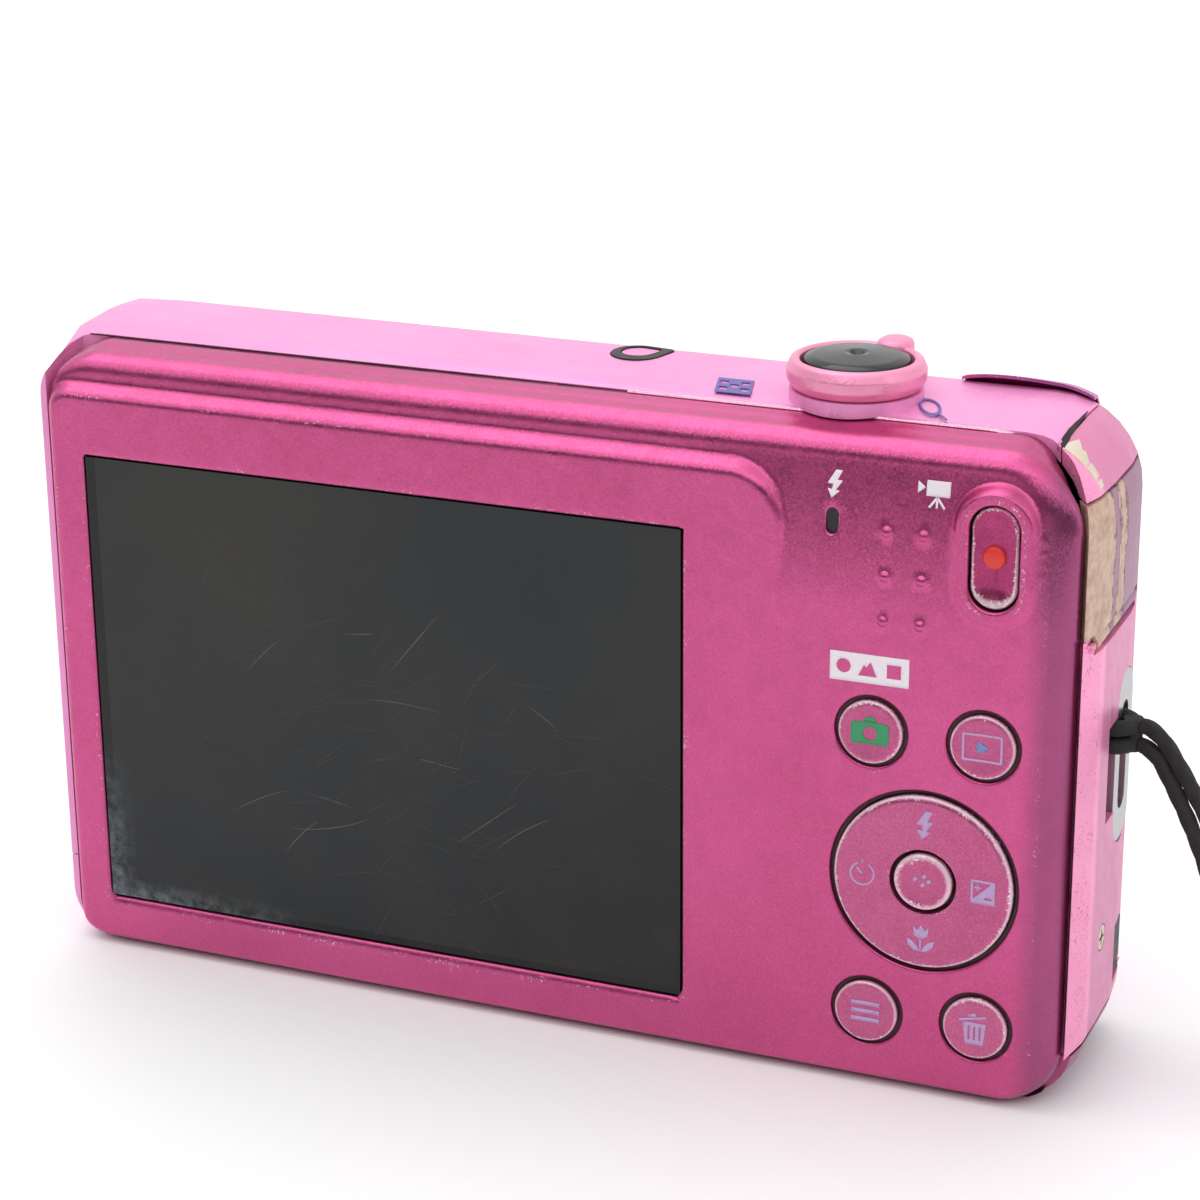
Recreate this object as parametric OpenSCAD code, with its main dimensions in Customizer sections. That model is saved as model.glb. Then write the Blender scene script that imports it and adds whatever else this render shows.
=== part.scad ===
// Compact digital camera: metal covers over a plastic band, folding-away zoom lens,
// rear screen and keys, battery and card behind a sliding door, and a wrist strap.
// Frame: +X to the holder's right, +Y out of the lens, +Z up, origin under the middle.
// Millimetres.

/* [Body] */
// Width over the side covers
body_w = 97.1; // [96:0.1:99]
// Height without the zoom lever
body_h = 57.9; // [57.5:0.1:59]
// Depth between the rear face and the front face
body_d = 19.9; // [19.8:0.1:20.4]
// Wall of the plastic band and the front cover
wall = 1.2; // [1:0.05:1.3]
// Corner radius seen from behind
corner_r = 7; // [6:0.5:8]
// Gap left between two covers
seam_gap = 0.15; // [0.1:0.01:0.2]

/* [Screen] */
// Width of the opening for the screen
screen_w = 56.9; // [54:0.1:57.5]
// Height of the opening for the screen
screen_h = 42.8; // [41:0.1:43.5]
// Middle of the screen, left to right
screen_x = -14.45; // [-15:0.05:-14]
// Middle of the screen above the base
screen_z = 26.5; // [26:0.05:27]
// How far the screen panel stands proud of the top of the rear cover
panel_step = 1.05; // [0.8:0.05:1.1]

/* [Rear keys] */
// Radius of a round key
key_r = 2.75; // [2.5:0.05:2.8]
// Radius of the hole around a round key
key_hole_r = 3.14; // [3:0.02:3.2]
// Radius of the selector ring
selector_r = 7.7; // [7.2:0.05:7.75]
// Radius of the hole around the selector ring
selector_hole_r = 8.11; // [8:0.01:8.15]
// Radius of the centre key
ok_r = 2.5; // [2.3:0.05:2.55]
// Radius of the hole in the selector ring
ok_hole_r = 2.88; // [2.8:0.02:2.95]
// Travel of a rear key
key_travel = 0.25; // [0.1:0.05:0.25]

/* [Top controls] */
// Radius of the zoom lever
zoom_r = 5.8; // [5.5:0.05:6]
// Radius of the shutter release disc
shutter_r = 4.48; // [4.2:0.02:4.55]
// Travel of the shutter release
shutter_travel = 0.9; // [0.5:0.05:1]
// Travel of the power button
power_travel = 0.3; // [0.1:0.05:0.3]

/* [Lens] */
// Optical axis, left to right
lens_x = -13; // [-14:0.1:-12.5]
// Optical axis above the base
lens_z = 28; // [27:0.1:29]
// Outer radius of the front barrel
barrel_r = 13.8; // [13.5:0.05:14]
// Radial clearance between two barrels
barrel_gap = 0.1; // [0.05:0.01:0.1]
// Wall of a barrel
barrel_wall = 0.9; // [0.8:0.05:0.95]
// Radius of the opening in front of the glass
aperture_r = 5.4; // [5:0.1:5.5]
// Teeth on the cam ring
cam_teeth = 84; // [84:1:84]
// Teeth on the motor pinion
pinion_teeth = 24; // [24:1:24]
// Gear module
gear_module = 0.4; // [0.4:0.01:0.4]

/* [Battery and card] */
// Width of the battery
battery_w = 31.5; // [31:0.1:31.6]
// Height of the battery
battery_h = 39.5; // [38.5:0.1:39.6]
// Thickness of the battery
battery_t = 6; // [5.5:0.1:6]
// Width of the memory card
card_w = 24; // [24:0.1:24]
// Height of the memory card
card_h = 32; // [32:0.1:32]
// Thickness of the memory card
card_t = 2.1; // [2.1:0.1:2.1]

/* [Mounts] */
// Radius of the tripod socket's hole
tripod_r = 3.175; // [3.175:0.001:3.175]
// Depth of the tripod socket's hole
tripod_depth = 5; // [4.5:0.1:5]

/* [Strap] */
// Diameter of the thin strap cord
cord_d = 1.35; // [1.2:0.05:1.4]
// Diameter of the wrist loop cord
loop_d = 1.6; // [1.5:0.05:1.65]

/* [Hidden] */
$fn = 48;

// Colours
rear_pink = [0.72, 0.22, 0.47];
band_pink = [0.95, 0.5, 0.72];
key_pink = [0.74, 0.32, 0.52];
steel = [0.75, 0.75, 0.77];
dark = [0.08, 0.08, 0.09];
plastic_black = [0.13, 0.13, 0.14];
board_green = [0.1, 0.32, 0.2];

// Main planes
rear_y = -body_d / 2;
front_y = body_d / 2;
step_y = rear_y + panel_step;
half_w = body_w / 2;
thin = 0.02;
far = 70;

// Outside of the body as slices along Y: [y, side inset, base inset, top inset, corner inset]
BODY = [
    [rear_y + 1.25, 0.8, 0.3, 1.6, 1],
    [-5, 0.1, 0, 0.55, 0.3],
    [-1, 0, 0, 0.1, 0],
    [4.5, 0, 0, 0, 0],
    [7.6, 0.3, 0.1, 0.02, 0.1],
    [front_y - 0.75, 1.2, 0.6, 0.4, 0.6],
    [front_y - thin, 2.5, 1.6, 1.6, 1.6]
];
// Inside of the front face
inner_front_y = front_y - 0.9;
// Plane between the band and the front cover
front_seam_y = 8.4;

// One corner arc as points
function arc(cx, cz, r, a0, steps = 8) =
    [for (i = [0:steps]) [cx + r * cos(a0 + 90 * i / steps), cz + r * sin(a0 + 90 * i / steps)]];

// Rounded rectangle from its corners, radii in the order top right, top left, low left, low right
function rounded(x0, x1, z0, z1, r) = concat(
    arc(x1 - r[0], z1 - r[0], r[0], 0),
    arc(x0 + r[1], z1 - r[1], r[1], 90),
    arc(x0 + r[2], z0 + r[2], r[2], 180),
    arc(x1 - r[3], z0 + r[3], r[3], 270));

// Upright prism of an outline in X and Z, from y0 to y1
module slab(points, y0, y1) {
    translate([0, y1, 0]) rotate([90, 0, 0]) linear_extrude(y1 - y0) polygon(points);
}

// Box from two corners
module block(low, high) {
    translate(low) cube(high - low);
}

// Round bars along each axis, from one end to the other
module rod_y(x, z, r, y0, y1) {
    translate([x, y1, z]) rotate([90, 0, 0]) cylinder(r = r, h = y1 - y0);
}
module rod_z(x, y, r, z0, z1) {
    translate([x, y, z0]) cylinder(r = r, h = z1 - z0);
}
module rod_x(y, z, r, x0, x1) {
    translate([x0, y, z]) rotate([0, 90, 0]) cylinder(r = r, h = x1 - x0);
}

// Upright oval bar along Y: two half rounds and the flat between them
module oval_y(x, z, half_x, half_z, y0, y1) {
    run = half_z - half_x;
    for (side = [-1, 1]) rod_y(x, z + side * run, half_x, y0, y1);
    block([x - half_x, y0, z - run], [x + half_x, y1, z + run]);
}

// Upright oval bar along X
module oval_x(y, z, half_y, half_z, x0, x1) {
    run = half_z - half_y;
    for (side = [-1, 1]) rod_x(y, z + side * run, half_y, x0, x1);
    block([x0, y - half_y, z - run], [x1, y + half_y, z + run]);
}

// Body corner radii for one slice, smaller at the foot than at the top
function body_radii(less) = [corner_r + 0.5, corner_r - 2.5, corner_r * 0.7, corner_r * 0.85]
    - [less, less, less * 0.6, less];

function body_slice(s, inset) = rounded(
    -half_w + s[1] + inset, half_w - s[1] - inset, s[2] + inset,
    body_h - s[3] - inset, body_radii(s[4] + inset * 0.8));

// The whole outside of the body, without the raised rear panel
module body_outside() {
    hull() for (s = BODY) slab(body_slice(s, 0), s[0], s[0] + thin);
}

// The space inside the walls
module body_inside() {
    hull() for (s = BODY)
        slab(body_slice(s, wall), min(s[0], inner_front_y - thin), min(s[0] + thin, inner_front_y));
}

// Rear cover's outside as slices along Y: [y, x low, x high, z low, z high, radii]
REAR = [
    [-4, -45.8, 43.6, 49, body_h - 0.5, [5.5, 4, 3, 3]],
    [-5.5, -46.8, 45.8, 30, body_h - 0.75, [6.5, 4.5, 3, 3]],
    [-7.6, -47, 47.2, 0.4, body_h - 1.4, [6.5, 4.5, 3.5, 5.5]],
    [-8.4, -47, 47.6, 0.1, body_h - 2.1, [6.5, 4.5, 3.5, 5.5]],
    [step_y, -46.8, 47, 0, body_h - 3, [6.5, 4.5, 3.5, 5.5]]
];
rear_wall = 0.75;
rear_inner_y = step_y + rear_wall;
pocket_y = rear_y + 0.85;
rear_rim_y = -7.9;

module rear_outside(grow = 0, raise = 0) {
    hull() for (s = REAR)
        slab(rounded(s[1] - grow, s[2] + grow, s[3] - grow, s[4] + grow + raise, s[5]),
            s[0] - grow, s[0] + thin + grow);
}

// Plastic band between the metal covers, in one piece before it is divided
module band() {
    difference() {
        intersection() {
            body_outside();
            block([-far, rear_y + 1.4, -far], [far, front_seam_y - seam_gap, far]);
        }
        body_inside();
        rear_outside(seam_gap, 3);
    }
}

// ---- Screen side ----
screen_x0 = screen_x - screen_w / 2;
screen_x1 = screen_x + screen_w / 2;
screen_z0 = screen_z - screen_h / 2;
screen_z1 = screen_z + screen_h / 2;
panel_x1 = 22.6;
panel_z1 = body_h - 4.2;
control_x1 = 44.6;
control_z1 = 42;
lamp_x = 26.84;
lamp_z = 49.97;
movie_x = 40.6;
movie_z = 48.6;
KEYS = [[30.71, 32.43], [40.25, 32.48], [30.87, 7.02], [40.4, 7.17]];
selector_x = 35.5;
selector_z = 19.7;
// Height of the sloping part of the control area at one height
function control_y(z) =
    z < control_z1 ? rear_y : rear_y + panel_step * (z - control_z1) / (54.5 - control_z1);

module screen_panel() {
    hull() {
        slab(rounded(-46.8, panel_x1, 0, panel_z1, [5, 2.6, 3.5, 3]), step_y - thin, step_y + 0.2);
        slab(rounded(-46.7, panel_x1 - 0.2, 0.2, panel_z1 - 0.2, [5, 2.5, 3.5, 3]),
            rear_y + 0.4, step_y);
        slab(rounded(-46.3, panel_x1 - 0.6, 0.7, panel_z1 - 0.6, [5, 2.2, 3.2, 3]),
            rear_y, step_y);
    }
}

module control_slope() {
    hull() {
        slab(rounded(10, 47, 0, 54.5, [6.5, 1, 1, 5.5]), step_y - thin, step_y + 0.2);
        slab(rounded(10, 46.3, 0.3, 48, [4, 1, 1, 5.3]), rear_y + 0.45, step_y);
        slab(rounded(10, control_x1, 0.7, control_z1, [1, 1, 1, 4.5]), rear_y, step_y);
    }
}

module movie_rim() {
    hull() {
        oval_y(movie_x, movie_z, 4, 6.3, step_y - thin, step_y + 0.2);
        oval_y(movie_x, movie_z, 2.9, 5.2, rear_y - 0.1, step_y);
    }
}

module rear_cover() color(rear_pink) {
    difference() {
        union() {
            rear_outside();
            screen_panel();
            control_slope();
            movie_rim();
            for (x = [31.5, 34.6], z = [42.15, 45.95, 49.65])
                translate([x, control_y(z) + 0.25, z]) sphere(r = 0.6);
        }
        // Hollow behind the cover
        hull() {
            slab(rounded(-45.8, 46, 1, body_h - 4.3, [6, 4, 3, 4.5]), rear_inner_y, rear_inner_y + thin);
            slab(rounded(-45.7, 45.8, 1, body_h - 3.1, [6, 4, 3, 4.5]), rear_rim_y, rear_rim_y + thin);
            slab(rounded(-44.5, 42.5, 0, body_h - 1.6, [5, 3.5, 3, 3]), -3.6, 0);
        }
        block([-far, rear_rim_y, -far], [far, 0, 49.5]);
        // Thin pockets behind the screen and the keys
        block([-45.2, pocket_y, 2.4], [17.4, rear_rim_y, 50.2]);
        block([24.5, pocket_y, 1.8], [45, rear_rim_y, 41]);
        // Opening for the screen, with a bevel
        block([screen_x0, -far, screen_z0], [screen_x1, 0, screen_z1]);
        hull() {
            block([screen_x0 - 0.3, rear_y - 0.1, screen_z0 - 0.4],
                [screen_x1 + 0.3, rear_y + 0.05, screen_z1 + 0.3]);
            block([screen_x0, rear_y, screen_z0], [screen_x1, rear_y + 0.45, screen_z1]);
        }
        for (k = KEYS) rod_y(k[0], k[1], key_hole_r, -far, 0);
        rod_y(selector_x, selector_z, selector_hole_r, -far, 0);
        oval_y(movie_x, movie_z, 2.3, 4.65, -far, 0);
        oval_y(lamp_x, lamp_z, 0.66, 1.22, -far, 0);
    }
}

window_lip = 1.5;
module lcd_window() color([0.06, 0.07, 0.07, 0.9]) {
    gap = 0.1;
    block([screen_x0 + gap, rear_y + 0.2, screen_z0 + gap],
        [screen_x1 - gap, pocket_y + 0.1, screen_z1 - gap]);
    block([screen_x0 - window_lip, pocket_y + 0.05, screen_z0 - window_lip],
        [screen_x1 + window_lip, pocket_y + 0.65, screen_z1 + window_lip]);
}

panel_y = pocket_y + 0.75;
module lcd_panel() color(dark) {
    block([screen_x0 - 1.2, panel_y, screen_z0 - 1], [screen_x1 + 1.2, panel_y + 0.9, screen_z1 + 1]);
}

// Light guide in its pressed steel tray, which folds up round the panel's edges
tray_y = panel_y + 2.1;
tray_t = 0.3;
module lcd_backlight() color(steel) {
    block([screen_x0 - 1.2, panel_y + 0.95, screen_z0 - 1],
        [screen_x1 + 1.2, tray_y - tray_t, screen_z1 + 1]);
    difference() {
        block([screen_x0 - 1.6, panel_y, screen_z0 - 1.4], [screen_x1 + 1.6, tray_y, screen_z1 + 1.4]);
        block([screen_x0 - 1.3, panel_y - 1, screen_z0 - 1.1],
            [screen_x1 + 1.3, tray_y - tray_t, screen_z1 + 1.1]);
    }
}

// ---- Rear keys ----
flange_y = pocket_y + 0.1;
dome_y = -6.85;
stem_end_y = dome_y - key_travel;
key_top_y = rear_y - 0.3;

// Round key: dished crown, flange behind the cover and a stem to its dome
module round_key(x, z) {
    difference() {
        union() {
            rod_y(x, z, key_r, key_top_y + 0.2, flange_y + 0.1);
            translate([x, key_top_y + 0.2, z]) rotate([90, 0, 0])
                cylinder(r1 = key_r, r2 = key_r - 0.25, h = 0.2);
            rod_y(x, z, key_r + 0.75, flange_y, flange_y + 0.5);
            rod_y(x, z, 1, flange_y + 0.5, stem_end_y);
        }
        translate([x, key_top_y - 11.85, z]) sphere(r = 12, $fn = 64);
    }
}
module mode_button() color(key_pink) round_key(KEYS[0][0], KEYS[0][1]);
module playback_button() color(key_pink) round_key(KEYS[1][0], KEYS[1][1]);
module menu_button() color(key_pink) round_key(KEYS[2][0], KEYS[2][1]);
module delete_button() color(key_pink) round_key(KEYS[3][0], KEYS[3][1]);

movie_top_y = rear_y + 0.25;
movie_flange_y = rear_inner_y + 0.1;
module movie_button() color(key_pink) difference() {
    union() {
        oval_y(movie_x, movie_z, 1.93, 4.28, movie_top_y, movie_flange_y + 0.1);
        oval_y(movie_x, movie_z, 2.7, 4.9, movie_flange_y, movie_flange_y + 0.4);
        rod_y(movie_x, movie_z, 1, movie_flange_y + 0.3, stem_end_y);
    }
    // Long finger hollow
    translate([movie_x, movie_top_y - 4.75, movie_z - 3]) cylinder(r = 5, h = 6, $fn = 64);
}

ring_flange_y = pocket_y + 0.45;
ring_flange_t = 0.3;
foot_r = 6.3;
gimbal_y = -7.7;
module selector_ring() color(key_pink) {
    difference() {
        union() {
            rod_y(selector_x, selector_z, selector_r, key_top_y + 0.3, ring_flange_y + 0.1);
            translate([selector_x, key_top_y + 0.3, selector_z]) rotate([90, 0, 0])
                cylinder(r1 = selector_r, r2 = selector_r - 0.5, h = 0.3);
            rod_y(selector_x, selector_z, selector_r + 0.8, ring_flange_y, ring_flange_y + ring_flange_t);
        }
        rod_y(selector_x, selector_z, ok_hole_r, -far, 0);
        translate([selector_x, key_top_y - 79.8, selector_z]) sphere(r = 80, $fn = 96);
    }
    // Four feet that press the domes
    for (a = [0:90:270])
        rod_y(selector_x + foot_r * cos(a), selector_z + foot_r * sin(a), 0.6,
            ring_flange_y + ring_flange_t - 0.1, -7.2);
}

ok_flange_y = ring_flange_y + ring_flange_t + 0.12;
module ok_button() color(key_pink) {
    difference() {
        union() {
            rod_y(selector_x, selector_z, ok_r, key_top_y + 0.15, ok_flange_y + 0.1);
            translate([selector_x, key_top_y + 0.15, selector_z]) rotate([90, 0, 0])
                cylinder(r1 = ok_r, r2 = ok_r - 0.25, h = 0.2);
            rod_y(selector_x, selector_z, ok_r + 1, ok_flange_y, ok_flange_y + 0.25);
            rod_y(selector_x, selector_z, 0.9, ok_flange_y + 0.2, stem_end_y);
        }
        translate([selector_x, key_top_y - 11.8, selector_z]) sphere(r = 12, $fn = 64);
    }
}

// Spring plate under the ring: it rocks up and down, and the ring rocks sideways on it
module selector_gimbal() color(steel) difference() {
    rod_y(selector_x, selector_z, selector_r + 0.6, gimbal_y, gimbal_y + 0.15);
    rod_y(selector_x, selector_z, ok_r + 1.6, gimbal_y - 1, gimbal_y + 1);
    for (a = [0:90:270])
        rod_y(selector_x + foot_r * cos(a), selector_z + foot_r * sin(a), 1, gimbal_y - 1, gimbal_y + 1);
}

// Keypad sheet on a thin plate, with a metal dome under each key
flex_y = -6.5;
module key_flex() color([0.75, 0.5, 0.15]) {
    slab([[25, 2.6], [44.2, 2.6], [44.2, 45], [43, 48.5], [40.5, 52.6], [25, 52.6]], flex_y, -6);
    domes = concat(KEYS, [[movie_x, movie_z], [selector_x, selector_z]],
        [for (a = [0:90:270]) [selector_x + foot_r * cos(a), selector_z + foot_r * sin(a)]]);
    for (d = domes) rod_y(d[0], d[1], 1.3, dome_y, flex_y + 0.1);
}

module flash_ready_lamp() color([0.9, 0.88, 0.8, 0.8])
    oval_y(lamp_x, lamp_z, 0.6, 1.16, control_y(lamp_z) + 0.15, flex_y - 0.2);

// ---- Covers ----
corner_x = 44.2;
foot_z = 8;
door_x0 = 14;

zoom_x = 25.6;
zoom_y = 0.3;
collar_top_z = 58.6;
hub_r = 3.5;
power_x = 3.9;
power_y = 5.7;

// Teardrop outline that points towards the front right
module teardrop(r, tip_x, tip_y, tip_r) {
    hull() {
        circle(r = r, $fn = 32);
        translate([tip_x, tip_y]) circle(r = tip_r, $fn = 16);
    }
}
module power_hole(grow) translate([power_x, power_y]) teardrop(2.3 + grow, 2.35, 1.6, 0.4 + grow);
module power_cap(grow) translate([power_x - 0.1, power_y + 0.45])
    teardrop(1.4 + grow, 1.35, 0.8, 0.4 + grow);

module top_cover() color(band_pink) difference() {
    union() {
        intersection() {
            band();
            slab([[-far, foot_z], [-44, foot_z], [-44, 50], [corner_x, 50], [corner_x, far], [-far, far]],
                -far, far);
        }
        difference() {
            union() {
                rod_z(zoom_x, zoom_y, 5.6, body_h - 0.95, collar_top_z);
                rod_z(zoom_x, zoom_y, 5, 54.3, collar_top_z);
            }
            block([0, -far, 0], [far, -3, body_h - 1]);
            rear_outside(seam_gap);
        }
    }
    rod_z(zoom_x, zoom_y, hub_r + 0.1, 50, far);
    translate([0, 0, 50]) linear_extrude(20) power_hole(0.08);
}

flap_z0 = 40.3;
flap_z1 = 53.2;
cover_z0 = 6.2;
cover_z1 = 11.6;
cover_y0 = 4.4;
hinge_x = 47.75;
flap_hinge_z = flap_z0 + 0.9;
cover_hinge_z = cover_z0 + 0.65;
door_z1 = 4.9;
eyelet_y = 4.4;
eyelet_z = 27.6;
eyelet_x = 47.75;
side_screw = [-0.4, 12.7];

module side_cover() color(band_pink) difference() {
    union() {
        intersection() {
            band();
            block([corner_x + seam_gap, -far, door_z1], [far, far, far]);
        }
        // Pocket behind the strap eyelet
        block([45.3, -1.9, 21.8], [47.6, 6.8, 33.6]);
        // Lugs that hold the pins of the two flaps
        for (y = [-7.3, 6.6]) block([46.9, y, flap_z0 - 0.3], [47.6, y + 0.7, flap_z0 + 1.5]);
        for (y = [-7.3, 6.6]) rod_y(hinge_x, flap_hinge_z, 0.6, y, y + 0.7);
        block([46.9, 7.6, cover_z0 - 0.3], [47.6, 8.2, cover_z0 + 1.1]);
        rod_y(hinge_x, cover_hinge_z, 0.5, 7.6, 8.2);
    }
    // Openings for the flaps, clear of their lugs
    block([45, -6.5, flap_z0], [far, 6.5, flap_z1]);
    block([45, -far, flap_z0 + 1.6], [far, 7.5, flap_z1]);
    block([47.85, -far, flap_z0 + 1.1], [far, 7.5, flap_z1]);
    block([45, cover_y0, cover_z0], [far, 7.5, cover_z1]);
    block([45, cover_y0, cover_z0 + 1.2], [far, front_seam_y - 0.1, cover_z1]);
    block([47.85, cover_y0, cover_z0 + 0.7], [far, front_seam_y - 0.1, cover_z1]);
    rod_y(hinge_x, flap_hinge_z, 0.32, -7.2, 7.2);
    rod_y(hinge_x, cover_hinge_z, 0.27, cover_y0 - 0.6, 8);
    // Seat for the eyelet plate, the slot behind it and the recess beside it
    oval_x(eyelet_y, eyelet_z, 2.75, 7.85, eyelet_x - 0.05, far);
    block([45.8, eyelet_y - 1.2, 23], [far, eyelet_y + 1.2, 32.4]);
    block([45.8, -1.2, 23.4], [eyelet_x - 0.05, eyelet_y, 32]);
    block([45.8, -1.2, 23.4], [far, 1.9, 32]);
    rod_x(side_screw[0], side_screw[1], 1.2, half_w - 0.5, far);
    rod_x(side_screw[0], side_screw[1], 0.65, 40, far);
}

tripod_x = -20;
FOOT_SCREWS = [-42, -6, 8];
module bottom_cover() color(band_pink) difference() {
    intersection() {
        band();
        block([-far, -far, -far], [door_x0 - seam_gap, far, foot_z - seam_gap]);
    }
    rod_z(tripod_x, 0, 4.55, -1, far);
    for (x = FOOT_SCREWS) rod_z(x, 2, 0.65, -1, far);
    for (x = FOOT_SCREWS) rod_z(x, 2, 1.3, -1, 0.5);
}

module tripod_socket() color(steel) difference() {
    union() {
        rod_z(tripod_x, 0, 4.5, 0.05, 1.6);
        rod_z(tripod_x, 0, 4.1, 1.6, tripod_depth + 1);
    }
    rod_z(tripod_x, 0, tripod_r, -1, tripod_depth + 0.05);
}

lens_hole_r = 16.6;
module front_cover() color(rear_pink) difference() {
    intersection() {
        body_outside();
        block([-far, front_seam_y, -far], [far, far, far]);
    }
    body_inside();
    rod_y(lens_x, lens_z, lens_hole_r, 0, far);
    block([7.4, 0, 46.9], [17.6, far, 51.9]);
    rod_y(22.4, 50.4, 1.75, 0, far);
    // Sound holes over the speaker
    for (a = [0:60:300]) rod_y(-40 + 1.6 * cos(a), 46 + 1.6 * sin(a), 0.4, 0, far);
    rod_y(-40, 46, 0.4, 0, far);
}

module lens_ring() color(steel) difference() {
    union() {
        rod_y(lens_x, lens_z, lens_hole_r - 0.1, front_y - 0.8, front_y + 0.4);
        translate([lens_x, front_y + 0.02, lens_z]) rotate([-90, 0, 0])
            cylinder(r1 = 19, r2 = 18.2, h = 0.98);
    }
    rod_y(lens_x, lens_z, 16.1, 0, far);
}

// ---- Skeleton ----
chassis_y = -5.9;
module chassis() color([0.6, 0.6, 0.62]) {
    difference() {
        slab(rounded(-44, 43, 2.6, 54.2, [9, 8, 3, 5]), chassis_y, chassis_y + 0.5);
        block([42, -far, 42], [far, 0, far]);
        block([-far, -far, 42], [-42.6, 0, far]);
        for (e = EARS) rod_y(e[0], e[1], 0.6, -far, 0);
        for (z = [12, 42], x = [-40, 20]) rod_y(x, z, 3.5, -far, 0);
        block([lens_x - 6, -far, lens_z - 5], [lens_x + 6, 0, lens_z + 5]);
    }
    // Screw lugs at the foot and at the side
    for (x = FOOT_SCREWS) difference() {
        block([x - 1.6, chassis_y + 0.4, 2.6], [x + 1.6, 3.2, 4]);
        rod_z(x, 2, 0.6, -1, far);
    }
    difference() {
        union() {
            block([42, chassis_y, 9], [46.5, chassis_y + 0.5, 16]);
            block([45.3, chassis_y + 0.4, 11.2], [46.5, 1.1, 14.2]);
        }
        rod_x(side_screw[0], side_screw[1], 0.6, 40, far);
    }
}

board_y = -5.2;
module main_board() {
    color(board_green) {
        block([7.8, board_y, 5.2], [44.8, board_y + 0.8, 48.6]);
        block([7.8, board_y, 40], [42.5, board_y + 0.8, 53]);
    }
    color(dark) {
        block([24, board_y + 0.8, 38], [36, board_y + 1.8, 50]);
        block([10, board_y + 0.8, 40], [19, board_y + 1.8, 48]);
    }
    color(steel) for (z = [10, 16, 22, 28]) block([9, board_y + 0.8, z], [13, board_y + 1.9, z + 3]);
}

board_z = 49.6;
module top_board() {
    color(board_green) block([-3, -3, board_z], [33, 3.2, board_z + 0.6]);
    color(plastic_black) {
        block([zoom_x - 3, zoom_y - 2.5, board_z + 0.6], [zoom_x + 3, zoom_y + 2.5, board_z + 1.4]);
        block([power_x - 2, 0.3, board_z + 0.6], [power_x + 2, 3.1, board_z + 1.9]);
    }
}

// ---- Top controls ----
lever_z0 = collar_top_z + 0.15;
lever_z1 = 61.2;
cup_z = lever_z0 + 0.45;
disc_z0 = cup_z + shutter_travel + 0.15;
module zoom_lever() color(band_pink) difference() {
    union() {
        rod_z(zoom_x, zoom_y, zoom_r, lever_z0, lever_z1 - 0.7);
        translate([zoom_x, zoom_y, lever_z1 - 0.7]) cylinder(r1 = zoom_r, r2 = zoom_r - 0.65, h = 0.7);
        rod_z(zoom_x, zoom_y, hub_r, 52.7, lever_z0 + 0.1);
        // Stop plate under the cover
        rod_z(zoom_x, zoom_y, 4.6, 52.7, 53.4);
        // Finger nub at the front
        hull() {
            translate([zoom_x + 1.6, zoom_y + 4.6, lever_z0 + 0.6]) cylinder(r = 1.5, h = 1.9);
            translate([zoom_x + 1.7, zoom_y + 5.7, lever_z0 + 0.9]) cylinder(r = 1.2, h = 1.9);
        }
    }
    rod_z(zoom_x, zoom_y, shutter_r + 0.25, cup_z, far);
    rod_z(zoom_x, zoom_y, 1.55, 50, far);
}

module shutter_button() color(dark) {
    difference() {
        intersection() {
            rod_z(zoom_x, zoom_y, shutter_r, disc_z0, far);
            translate([zoom_x, zoom_y, lever_z1 + 0.45 - 28]) sphere(r = 28, $fn = 96);
        }
        translate([zoom_x, zoom_y, lever_z1 + 0.45 + 1.35]) sphere(r = 1.5);
    }
    rod_z(zoom_x, zoom_y, 1.48, 52.5, disc_z0 + 0.1);
    // Clip that keeps the stem in
    rod_z(zoom_x, zoom_y, 2.3, 52.25, 52.55);
}

power_top_z = body_h - 0.02;
module power_ring() color([0.42, 0.42, 0.44]) difference() {
    translate([0, 0, 55.6]) linear_extrude(power_top_z + 0.12 - 55.6) power_hole(0);
    translate([0, 0, 50]) linear_extrude(20) power_cap(0.1);
}

module power_button() color(band_pink) {
    translate([0, 0, 55.6]) linear_extrude(power_top_z - 55.6) power_cap(0);
    translate([0, 0, 54.6]) linear_extrude(0.8) power_cap(0.7);
    rod_z(power_x, power_y, 0.9, 54.8, 55.8);
    block([power_x - 0.8, 1.8, 54.6], [power_x + 0.8, power_y, 55.2]);
    rod_z(power_x, 1.8, 0.8, board_z + 1.9 + power_travel + 0.15, 55.2);
}

// ---- Lens ----
housing_y0 = -5;
housing_y1 = 8.8;
cam_r = barrel_r + 2 * (barrel_gap + barrel_wall) + barrel_gap;
housing_r = cam_r + barrel_wall + barrel_gap;
gear_r = gear_module * cam_teeth / 2;
pinion_r = gear_module * pinion_teeth / 2;
gear_y0 = -3.9;
gear_y1 = -2.5;
mesh_angle = 225;
pinion_x = lens_x + (gear_r + pinion_r) * cos(mesh_angle);
pinion_z = lens_z + (gear_r + pinion_r) * sin(mesh_angle);
groove_r = gear_r + gear_module + 0.25;
EARS = [for (a = [45, 150, 315]) [lens_x + (housing_r + 3) * cos(a), lens_z + (housing_r + 3) * sin(a)]];

// Involute gear outline
pressure = 24;
function turned(p, a) = [p[0] * cos(a) - p[1] * sin(a), p[0] * sin(a) + p[1] * cos(a)];
function roll_to(base, r) = r <= base ? 0 : sqrt(pow(r / base, 2) - 1) * 180 / PI;
function spread(base, r) = roll_to(base, r) - atan2(roll_to(base, r) * PI / 180, 1);
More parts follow.
